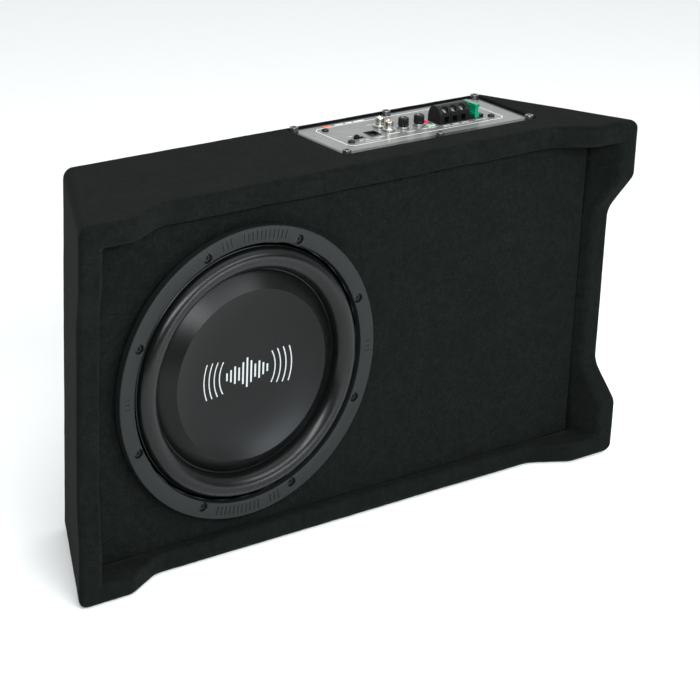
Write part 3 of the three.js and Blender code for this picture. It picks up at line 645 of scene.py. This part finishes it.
def trim_cutout(made):
    """Opens the carpet on top of the box where the amplifier's plate lies. The cut edge is
    softened, and goes down past the plate's face."""
    near_top = HEIGHT - 2 * MM
    softened, sinks = 2.4 * MM, 0.9 * MM
    overlap = Vector((0.4 * MM, 0.4 * MM))
    low, high = plate_low.xy + overlap, plate_high.xy - overlap
    work = bmesh.new()
    work.from_mesh(made.data)
    for away in (softened, 1.2 * MM, 0.5 * MM, 0):
        for axis in (0, 1):
            for edge in (low[axis] - away, high[axis] + away):
                top = [f for f in work.faces if f.calc_center_median().z > near_top]
                parts = list(dict.fromkeys(g for f in top for g in [*f.verts, *f.edges])) + top
                point, normal = Vector(), Vector()
                point[axis], normal[axis] = edge, 1
                bmesh.ops.bisect_plane(work, geom=parts, dist=0.01 * MM, plane_co=point,
                                       plane_no=normal)
    inside = []
    for face in work.faces:
        spot = face.calc_center_median()
        if spot.z > near_top and low.x < spot.x < high.x and low.y < spot.y < high.y:
            inside.append(face)
    bmesh.ops.delete(work, geom=inside, context="FACES")
    for vertex in work.verts:
        if vertex.co.z > near_top:
            out = [max(low[a] - vertex.co[a], vertex.co[a] - high[a], 0) for a in (0, 1)]
            vertex.co.z -= sinks * max(0.0, 1 - math.hypot(*out) / softened) ** 2
    rim = [e for e in work.edges if e.is_boundary and all(v.co.z > near_top for v in e.verts)]
    lowered = bmesh.ops.extrude_edge_only(work, edges=rim)["geom"]
    for vertex in lowered:
        if isinstance(vertex, bmesh.types.BMVert):
            vertex.co.z = PLATE_TOP - 0.5 * MM
    work.to_mesh(made.data)
    work.free()


def carpet_panel(name, y, inset, node, facing, hole=0.0):
    """A flat carpet with its edges tucked in, facing -Y or +Y, with a round hole at the driver."""
    step, tuck, sinks = 4 * MM, 3.5 * MM, 2.4 * MM
    border = 1.2 * MM  # a further row of points this far inside the edge

    def spread(half):
        even = np.linspace(-half, half, int(2 * half / step) + 1)
        return np.sort(np.append(even, [-half + border, half - border]))

    half_x, half_z = half_width(y, inset), HEIGHT / 2 - inset
    spread_x, spread_z = spread(half_x), spread(half_z)
    work = bmesh.new()
    verts = {}
    for i, x in enumerate(spread_x):
        for j, z in enumerate(spread_z):
            edge = min(half_x - abs(x), half_z - abs(z))
            drop = sinks * max(0.0, 1 - edge / tuck) ** 2
            verts[i, j] = work.verts.new((x, y - facing * drop, z + HEIGHT / 2))
    for i in range(len(spread_x) - 1):
        for j in range(len(spread_z) - 1):
            corners = (verts[i, j], verts[i + 1, j], verts[i + 1, j + 1], verts[i, j + 1])
            if hole and all((v.co - DRIVER).xz.length < hole for v in corners):
                continue
            work.faces.new(corners if facing < 0 else corners[::-1])
    bmesh.ops.delete(work, geom=[v for v in work.verts if not v.link_faces], context="VERTS")
    for vertex in work.verts:
        off = (vertex.co - DRIVER).xz
        if hole and off.length < hole:
            off *= hole / off.length
            vertex.co.x, vertex.co.z = DRIVER.x + off.x, DRIVER.z + off.y
    mesh = bpy.data.meshes.new(name)
    work.to_mesh(mesh)
    work.free()
    made = linked(name, mesh, carpet)
    lay_felt(made)
    settle(made, 60, "box", "carpet", (node,))


carpet_wrap()
carpet_panel("carpet_baffle_felt", BAFFLE_Y, WALL - 2.6 * MM, "carpet_baffle", -1, 115 * MM)
carpet_panel("carpet_back_felt", BACK, BACK_LIP - 1 * MM, "carpet_back", 1)


# ---- Driver. Heights are depths behind the trim ring's face. ----

on_driver = about(DRIVER, (0, 1, 0), (1, 0, 0))
LANDING = 8.1 * MM  # depth of the surround's inner edge
ROLL_OUTER, ROLL_INNER, ROLL_HEIGHT = 112.4 * MM, 92.2 * MM, 10.6 * MM
CAP_FLAT, CAP_EDGE, CAP_DISH = 76.9 * MM, 91.3 * MM, 8 * MM
CAP_RISE = 1.8 * MM  # how far the cap's rim stands in front of the ring's face


def at_angle(radius, angle):
    """A place on the driver's face at an angle from +X towards +Z."""
    return DRIVER + Vector((radius * math.cos(angle), 0, radius * math.sin(angle)))


def socket_head(radius, top, chamfer, flats, recess):
    """Profile of a screw's head with a hexagon socket, flats across its sides."""
    def hexagon(angle):
        return flats / 2 / math.cos((angle % (math.pi / 3)) - math.pi / 6)

    return [
        (0, 0), (radius, 0), (radius, top - chamfer),
        (radius - 0.3 * chamfer, top - 0.3 * chamfer), (radius - chamfer, top),
        (lambda a: hexagon(a) + 0.2 * MM, top), (hexagon, top - 0.2 * MM), (hexagon, top - recess),
        (0, top - recess - 0.4 * MM),
    ]


def trim_ring():
    edge, inner, depth = 0.9 * MM, 117 * MM, 8 * MM
    profile = [(inner, depth), (inner, 1.0 * MM), (inner + 0.3 * MM, 0.3 * MM),
               (inner + 1.0 * MM, 0)]
    profile += [(RING_RADIUS - edge + edge * math.sin(t), edge - edge * math.cos(t))
                for t in np.radians(np.linspace(0, 90, 6))]
    profile += [(RING_RADIUS, depth - edge), (RING_RADIUS - edge, depth)]
    ring = new_object("trim_ring_body", turned(profile, 288, on_driver, closed=True), ring_paint)
    bore, lip = 4.1 * MM, 0.5 * MM
    counterbore = [(0, -MM), (bore + lip + MM, -MM), (bore, lip), (bore, 5 * MM), (0, 5 * MM)]
    holes = [turned(counterbore, 40, about(at_angle(BOLT_RADIUS, angle), (0, 1, 0)))
             for angle in BOLT_ANGLES]
    carve(ring, gathered(*holes, *engraved_bars()))
    settle(ring, 32, "box", "ring", ("trim_ring",))


def engraved_bars():
    """Plain radial bars cut into the ring: two long groups, and a short one at each side."""
    bars = [(middle_of + side, 120.4, 128.2) for middle_of in (90, 270)
            for side in np.arange(-15, 15.1, 2) if not 6 < side < 10]
    bars += [(middle_of + side, 122.5, 126.5) for middle_of in (0, 180) for side in (-2, 0, 2)]
    half, depth = 0.6 * MM, 0.5 * MM
    shapes = []
    for angle, inner, outer in bars:
        turn = math.radians(angle)
        outward = Vector((math.cos(turn), 0, math.sin(turn)))
        corners = [(inner * MM, -half), (outer * MM, -half), (outer * MM, half), (inner * MM, half)]
        shapes.append(bar(corners, -MM, depth, about(DRIVER, (0, 1, 0), outward)))
    return shapes


def ring_screws():
    head = socket_head(3.7 * MM, 2.2 * MM, 0.4 * MM, 3.4 * MM, 1.6 * MM)
    sunk = Vector((0, 4.7 * MM, 0))
    for k, angle in enumerate(BOLT_ANGLES, start=1):
        place = about(at_angle(BOLT_RADIUS, angle) + sunk, (0, -1, 0))
        piece(f"ring_screw_{k}_head", turned(head, 36, place), screw_black, "screw",
              (f"ring_screw_{k}",))


def roll_point(turn, lift):
    """A point (radius, depth) of the surround's half roll, from its outer foot at 0 to its inner
    foot at pi, as far behind its face as lift."""
    along = (1 - math.cos(turn)) / 2
    radius = ROLL_OUTER + (ROLL_INNER - ROLL_OUTER) * along - lift * math.cos(turn)
    outer_depth = 4.6 * MM
    depth = outer_depth + (LANDING - outer_depth) * along - (ROLL_HEIGHT - lift) * math.sin(turn)
    return radius, depth


def surround():
    """The roll in two halves that meet at its peak: the inner one rides on no body."""
    thickness, steps = 1.1 * MM, 26
    near_foot, near_peak = 0.06, 0.012
    quarter = math.pi / 2
    outer = list(np.linspace(near_foot, quarter - near_peak, steps)) + [quarter]
    inner = [quarter] + list(np.linspace(quarter + near_peak, math.pi - near_foot, steps))
    ledge = [(r * MM, h * MM) for r, h in ((116, 6), (116, 5), (115.6, 4.7), (113.4, 4.7))]
    bead = [(ROLL_INNER - 0.3 * MM, LANDING - 0.1 * MM),
            (ROLL_INNER - 0.7 * MM, LANDING - 0.1 * MM),
            (88.2 * MM, LANDING), (88.2 * MM, LANDING + 0.3 * MM),
            (ROLL_INNER - 1 * MM, LANDING + 0.35 * MM)]
    outer_profile = ledge + [roll_point(t, 0) for t in outer]
    outer_profile += [roll_point(t, thickness) for t in reversed(outer)]
    inner_profile = [roll_point(t, 0) for t in inner] + bead
    inner_profile += [roll_point(t, thickness) for t in reversed(inner)]
    piece("surround_outer", turned(outer_profile, 240, on_driver, closed=True), rubber, "rubber",
          ("surround",), sharp=50)
    roll = turned(inner_profile, 240, on_driver, closed=True)
    moving = new_object("surround_inner", roll, rubber)
    settle(moving, 50, None, "rubber", ("surround",))
    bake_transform(moving)


def wedge(profile, first, last, segments, place):
    """Part of a turned shape, from one step to another, with its ends closed. The profile goes out
    along one face and comes back along the other."""
    size, points = len(profile), []
    for k in range(first, last + 1):
        angle = 2 * math.pi * k / segments
        points += [place(r * math.cos(angle), r * math.sin(angle), h) for r, h in profile]
    faces = []
    for here in range(0, (last - first) * size, size):
        for i in range(size):
            after = (i + 1) % size
            faces.append((here + i, here + after, here + size + after, here + size + i))
    for start in (0, (last - first) * size):
        faces += [(start + i, start + i + 1, start + size - 2 - i, start + size - 1 - i)
                  for i in range(size // 2 - 1)]
    return points, faces


def spider():
    """The corrugated cloth behind the cone, in equal sectors."""
    low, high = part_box("spider")
    outer, inner = 68 * MM, 26.4 * MM
    wave, curl, thickness = 0.35 * MM, 1.1 * MM, 0.5 * MM
    front, back = low.y - DRIVER.y + 0.8 * MM, high.y - DRIVER.y - 0.8 * MM
    slope = (front - back) / (inner - outer)
    cloth = [(r, back + slope * (r - outer) + wave * math.sin((outer - r) / curl))
             for r in np.linspace(outer, inner, 70)]
    cloth += [(r, depth + thickness) for r, depth in reversed(cloth)]
    sectors, steps = 12, 8
    # Two radii on each sector's middle line, meant for holding the cloth outside the one and
    # letting it follow the cone inside the other; the points at them are made but not used. Where
    # two sectors meet, both are larger by 1 / cos(15 degrees), so that they reach the basket's
    # landing, which starts at 64 mm.
    held, follows = 61.5 * MM, 30 * MM
    for k in range(sectors):
        shape = wedge(cloth, k * steps, (k + 1) * steps, sectors * steps, on_driver)
        made = new_object(f"spider_cloth_{k + 1:02d}", shape, spider_weave)
        settle(made, 60, None, "cloth", ("spider",))
        turn = 2 * math.pi * (k + 0.5) / sectors
        ends = [on_driver(r * math.cos(turn), r * math.sin(turn), 0) for r in (held, follows)]
        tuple(ends[0])
        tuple(ends[1])
        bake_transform(made)


def cap_depth(radius):
    """Depth of the dust cap's dished face."""
    return CAP_DISH * (1 - (radius / CAP_FLAT) ** 3) - CAP_RISE


def dust_cap():
    """A dished face, and a bevel on a quadratic curve down to the surround."""
    foot = LANDING - 0.1 * MM
    bevel = [(CAP_FLAT, cap_depth(CAP_FLAT)), (85.7 * MM, 3.9 * MM), (CAP_EDGE, foot)]
    profile = [(0, cap_depth(0))] + [(r, cap_depth(r)) for r in np.linspace(4 * MM, CAP_FLAT, 22)]
    for t in np.linspace(0.03, 1, 16):
        weights = ((1 - t) ** 2, 2 * t * (1 - t), t ** 2)
        profile.append(tuple(sum(w * p[axis] for w, p in zip(weights, bevel)) for axis in (0, 1)))
    thickness = 1.2 * MM
    profile += [(CAP_EDGE - 1.5 * MM, foot), (84.8 * MM, 4.4 * MM), (80 * MM, 1.9 * MM),
                (CAP_FLAT - 2 * MM, cap_depth(CAP_FLAT - 2 * MM) + thickness),
                (40 * MM, cap_depth(40 * MM) + thickness), (0, cap_depth(0) + thickness)]
    piece("dust_cap_moulding", turned(profile, 200, on_driver), cone_plastic, "cone", ("dust_cap",),
          body="cone_assembly", sharp=12)


def printed_mark():
    """A plain mark in grey ink on the cap: level bars between two sets of arcs."""
    ink = 0.06 * MM

    def on_cap(u, v, h):
        reach = math.hypot(u, v)
        return DRIVER + Vector((u, cap_depth(reach) - h, v))

    shapes = []
    heights = (7, 11, 16, 12, 20, 27, 20, 12, 16, 11, 7)
    for k, tall in enumerate(heights):
        x = (k - len(heights) // 2) * 4.2 * MM
        column = [(x, z * MM) for z in np.linspace(-tall / 2, tall / 2, 12)]
        shapes.append(strip(column, 1.7 * MM, ink, on_cap))
    for radius, spread in ((29, 30), (34.5, 27), (40, 24), (45.5, 21)):
        for middle_of in (0, 180):
            bow = arc(radius * MM, middle_of - spread, middle_of + spread, 26)
            shapes.append(strip(bow, 1.1 * MM, ink, on_cap))
    piece("cap_printed_mark", gathered(*shapes), grey_ink, "white_plastic", body="cone_assembly")


trim_ring()
ring_screws()
surround()
spider()
dust_cap()
printed_mark()


# ---- Amplifier plate and what stands on it ----

def on_plate(x, y, z=0.0):
    """A place on the plate, in millimetres from its front left corner."""
    return Vector((plate_low.x + x * MM, plate_low.y + y * MM, PLATE_TOP + z * MM))


def upright(node, below=0.0):
    """Places round a node's vertical middle line, from a height below its top."""
    centre = middle(node)
    return about((centre.x, centre.y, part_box(node)[1].z - below), (0, 0, 1))


def plate_screws():
    tall = 4 * MM
    head = socket_head(3.9 * MM, tall, 0.45 * MM, 3.6 * MM, 2.2 * MM)
    for k in range(1, len(PLATE_SCREWS) + 1):
        node = f"plate_screw_{k}"
        piece(f"{node}_head", turned(head, 36, upright(node, tall)), black_oxide, "screw", (node,))
    button = socket_head(3.2 * MM, 2.0 * MM, 1.1 * MM, 2.2 * MM, 1.3 * MM)
    spots = ((30.6, 69.2), (30.1, 30.1), (191.5, 30.1), (191.3, 69.4))
    for k, (x, y) in enumerate(spots, start=1):
        place = about(on_plate(x, y, 0.05), (0, 0, 1))
        piece(f"module_screw_{k}", turned(button, 36, place), screw_black, "screw")


def phono_sockets():
    tall = 8.6 * MM
    for side, insert_look, slot in (("left", white_plastic, "white_plastic"),
                                    ("right", orange_plastic, "orange_plastic")):
        place = upright(f"rca_sleeve_{side}", tall)
        sleeve = [(r * MM, h * MM) for r, h in (
            (3.3, -8), (4.15, -8), (4.15, 0), (5.7, 0), (5.9, 0.2), (5.9, 1.4), (5.6, 1.7),
            (4.6, 1.7), (4.35, 1.95), (4.15, 2.4), (4.15, 3.6), (3.95, 3.8), (3.95, 4.4),
            (4.15, 4.6), (4.15, 8.1), (3.95, 8.45), (3.7, 8.6), (3.45, 8.45), (3.3, 8.1),
        )]
        piece(f"rca_sleeve_{side}_shell", turned(sleeve, 48, place, closed=True), nickel, "steel",
              (f"rca_sleeve_{side}",))
        insert = [(r * MM, h * MM) for r, h in (
            (1.6, -8), (3, -8), (3, 7.4), (2.75, 7.75), (2.1, 7.75), (1.75, 7.45), (1.6, 7.2),
        )]
        piece(f"rca_insert_{side}_moulding", turned(insert, 40, place, closed=True), insert_look,
              slot, (f"rca_insert_{side}",))


def fluted(radius, depth):
    """A radius with twenty grooves round it."""
    return lambda angle: radius - depth * (0.5 - 0.5 * math.cos(20 * angle)) ** 2


def knobs():
    tall, face, groove = 8 * MM, 7.6 * MM, 0.34 * MM
    for control in ("gain", "crossover"):
        node = f"knob_{control}"
        centre = middle(node)
        profile = [(r * MM, h * MM) for r, h in (
            (0, -4), (2.3, -4), (2.3, 0.3), (4.7, 0.3), (4.95, 0.5), (4.95, 1.3))]
        profile += [(fluted((4.9 - 0.02 * h) * MM, groove), h * MM) for h in (1.5, 3, 5, 6.9)]
        profile += [(4.45 * MM, 7.5 * MM), (3.9 * MM, 7.85 * MM), (3.5 * MM, 7.9 * MM),
                    (3.2 * MM, face), (0, face)]
        body = f"{control}_knob"
        piece(f"{node}_cap", turned(profile, 120, upright(node, tall)), black_plastic,
              "black_plastic", (node,), body=body)
        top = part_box(node)[1].z - tall + face
        pointer = block((centre.x - 0.35 * MM, centre.y + 0.6 * MM, top - 0.2 * MM),
                        (centre.x + 0.35 * MM, centre.y + 3.1 * MM, top + 0.12 * MM), 0.05 * MM)
        piece(f"{node}_pointer", pointer, white_ink, "white_plastic", body=body)
        refined(f"pot_{control}", zinc, "steel", 0.15 * MM)


def terminal_screws():
    radius, tall, sink = 3 * MM, 3.3 * MM, 3.7 * MM
    for k in (1, 2, 3):
        joint = next(j for j in frame["joints"] if j["name"] == f"clamp_screw_{k}_turn")
        axis = Vector(joint["axis"])
        seat = Vector(joint["pos_m"]) - axis * sink
        place = about(seat, axis)
        head = [(0, 0), (radius, 0), (radius, tall - 0.5 * MM),
                (radius - 0.15 * MM, tall - 0.15 * MM), (radius - 0.5 * MM, tall),
                (0, tall + 0.1 * MM)]
        made = new_object(f"terminal_screw_{k}_head", turned(head, 40, place), nickel)
        lean = math.radians((25, -30, 10)[k - 1])
        along = Vector((math.cos(lean), math.sin(lean)))
        across = Vector((-along.y, along.x))
        corners = [along * s * 3.6 * MM + across * t * 0.42 * MM
                   for s, t in ((-1, -1), (1, -1), (1, 1), (-1, 1))]
        carve(made, bar(corners, tall - 0.9 * MM, tall + MM, place))
        settle(made, 30, f"clamp_screw_{k}", "steel", (f"terminal_screw_{k}",))


def fuse():
    low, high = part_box("fuse")
    foot = high.z - 12.5 * MM
    refined("fuse", green_clear, "green_plastic", 0.35 * MM, "fuse_body", "blade_fuse", floor=foot)
    x, y = middle("fuse").x, middle("fuse").y
    blades = [
        block((x - 0.4 * MM, y + side * 6 * MM - 2.7 * MM, low.z),
              (x + 0.4 * MM, y + side * 6 * MM + 2.7 * MM, foot - 0.02 * MM), 0.1 * MM)
        for side in (-1, 1)
    ]
    piece("fuse_blades", gathered(*blades), zinc, "steel", body="blade_fuse")


def small_sockets():
    for node, edge, body in (("terminal_block", 0.35, "box"), ("fuse_holder", 0.25, "box"),
                             ("switch_body", 0.15, "box"), ("switch_lever", 0.25, "switch_slider"),
                             ("remote_socket", 0.2, "box")):
        refined(node, black_plastic, "black_plastic", edge * MM, body=body)
    refined("level_socket", pale_green, "pale_green", 0.2 * MM)
    port = middle("level_socket")
    core = block((port.x - 2.9 * MM, port.y - 0.95 * MM, PLATE_TOP - 3.9 * MM),
                 (port.x + 2.9 * MM, port.y + 0.95 * MM, PLATE_TOP + 0.9 * MM), 0.1 * MM)
    piece("level_socket_core", core, black_plastic, "black_plastic")
    contact = middle("remote_socket")
    pitch, half = 2.0 * MM, 0.25 * MM
    pins = []
    for k in range(4):
        x = contact.x + (k - 1.5) * pitch
        pins.append(block((x - half, contact.y + 3.4 * MM, PLATE_TOP - 9 * MM),
                          (x + half, contact.y + 4.2 * MM, PLATE_TOP - 2 * MM), 0.05 * MM))
    piece("remote_socket_contacts", gathered(*pins), nickel, "steel")
    radius, foot = 1.5 * MM, -12 * MM
    dome = [(0, foot), (radius, foot), (radius, -radius)]
    dome += [(radius * math.cos(t), -radius + radius * math.sin(t))
             for t in np.radians(np.linspace(15, 75, 5))]
    dome += [(0, 0)]
    piece("status_led_lens", turned(dome, 32, upright("status_led")), red_clear, "pink_plastic",
          ("status_led",))


def printing():
    """The plate's ink: a white outline, ticks round the knobs and plain dashes for the legends."""
    def lifted(u, v, h):
        return on_plate(u, v, 0.01 + h)

    def line(points, width):
        return strip(points, width, 0.05, lifted)

    left, right, front, back, chamfer = 22.6, 201, 20.9, 76.7, 4.5
    outline = [(left + chamfer, front), (right - chamfer, front), (right, front + chamfer),
               (right, back - chamfer), (right - chamfer, back), (left + chamfer, back),
               (left, back - chamfer), (left, front + chamfer), (left + chamfer, front)]
    marks = [line([a, b], 0.8) for a, b in zip(outline, outline[1:])]
    for control in ("gain", "crossover"):
        centre = (middle(f"knob_{control}") - plate_low) / MM
        for k in range(11):
            turn = math.radians(-50 + 28 * k)
            ends = [(centre.x + r * math.cos(turn), centre.y + r * math.sin(turn))
                    for r in (6.8, 8)]
            marks.append(line(ends, 0.35))
    dashes = [  # left end, distance from the front edge, length and width
        (39, 30, 4, 0.8), (46, 30, 4, 0.8), (57, 30.4, 11, 0.9), (75, 33.2, 12, 1.1),
        (92, 30, 10, 0.9), (110, 30, 10, 0.9), (120, 29, 7, 0.7), (133, 28.2, 8, 1.2),
        (144, 28.2, 8, 1.2), (155, 28.2, 8, 1.2), (131, 25.1, 34, 0.6), (170, 27.4, 12, 0.8),
        (37, 44.4, 5, 0.6), (43, 25.4, 16, 0.5), (73, 64.4, 16, 0.7), (49, 79.4, 9, 2.0),
        (61, 79.4, 7, 2.0), (70, 79.4, 12, 2.0),
    ]
    marks += [line([(x, y), (x + long, y)], width) for x, y, long, width in dashes]
    piece("plate_printing", gathered(*marks), white_ink, "white_plastic")
    accents = [line([(36.8, 80.4), (44.3, 80.4)], 3.0), line([(38.8, 77.9), (42.3, 77.9)], 1.2),
               line([(208, 80.5), (213, 80.5)], 1.6)]
    piece("plate_accents", gathered(*accents), red_ink, "orange_plastic")


refined("amp_plate", plate_paint, "plate", 0.4 * MM)
plate_screws()
phono_sockets()
knobs()
terminal_screws()
fuse()
small_sockets()
printing()


# ---- Finishes of the CAD nodes that stay ----

STAYING = {
    board: ("top_panel", "bottom_panel", "left_panel", "right_panel", "back_panel", "front_baffle"),
    foam: ("driver_gasket", "plate_gasket"),
    powder_coat: ("driver_basket", "amp_housing"),
    cone_pulp: ("cone",),
    copper: ("voice_coil",),
    toroid_wire: ("toroid",),
    zinc: ("top_plate", "yoke"),
    ferrite: ("magnet",),
    black_plastic: ("driver_terminal",),
    circuit: ("amp_board",),
    cable_rubber: ("speaker_lead",),
}
for look, nodes in STAYING.items():
    for node in nodes:
        kept = frame["nodes"][node]
        kept.data.materials.clear()
        kept.data.materials.append(look.material)


# ---- Floor and light ----

def make_floor():
    look = grained("studio_floor", (0.93, 0.93, 0.925), 0.85, 3 * MM, 0.02 * MM, 0.01)
    reach = 9.0
    corners = [(-reach, -reach), (reach, -reach), (reach, reach), (-reach, reach)]
    shape = [Vector((x, y, -0.2 * MM)) for x, y in corners], [(0, 1, 2, 3)]
    floor = new_object("floor", shape, look, outward=False)


def softbox(name, place, target, width, height, power, colour):
    data = bpy.data.lights.new(name, "AREA")
    data.shape = "RECTANGLE"
    data.size, data.size_y = width, height
    data.energy = power
    data.color = colour
    lamp = bpy.data.objects.new(name, data)
    lamp.location = place
    lamp.rotation_euler = (Vector(target) - Vector(place)).to_track_quat("-Z", "Y").to_euler()
    scene.collection.objects.link(lamp)


def make_light():
    centre = Vector((0, 0, 0.17))
    softbox("overhead", (0.1, -0.4, 2.1), centre, 2.2, 1.6, 16, (0.97, 0.99, 1.0))
    softbox("key", (-0.92, -1.7, 1.3), centre, 1.6, 0.48, 50, (0.95, 0.98, 1.0))
    softbox("fill", (0.6, -1.75, 1.42), centre, 1.4, 0.48, 24, (0.94, 0.97, 1.0))
    softbox("low_front", (0.43, -1.45, 0.17), centre, 0.5, 0.28, 7, (0.86, 0.92, 1.0))
    world = bpy.data.worlds.new("studio")
    world.use_nodes = True
    nodes, links = world.node_tree.nodes, world.node_tree.links
    direction = nodes.new("ShaderNodeTexCoord").outputs["Generated"]
    lean = nodes.new("ShaderNodeVectorMath")
    lean.operation = "DOT_PRODUCT"
    lean.inputs[1].default_value = (0.3, 0.5, 0.7)
    links.new(direction, lean.inputs[0])
    ramp = nodes.new("ShaderNodeMapRange")
    for socket, value in (("From Min", -0.1), ("From Max", 0.8), ("To Min", 0.06), ("To Max", 1.1)):
        ramp.inputs[socket].default_value = value
    links.new(lean.outputs["Value"], ramp.inputs["Value"])
    links.new(ramp.outputs[0], nodes["Background"].inputs["Strength"])
    nodes["Background"].inputs["Color"].default_value = (0.96, 0.985, 1.0, 1)
    scene.world = world
    scene.view_settings.view_transform = "Standard"


make_floor()
make_light()

bpy.context.view_layer.update()
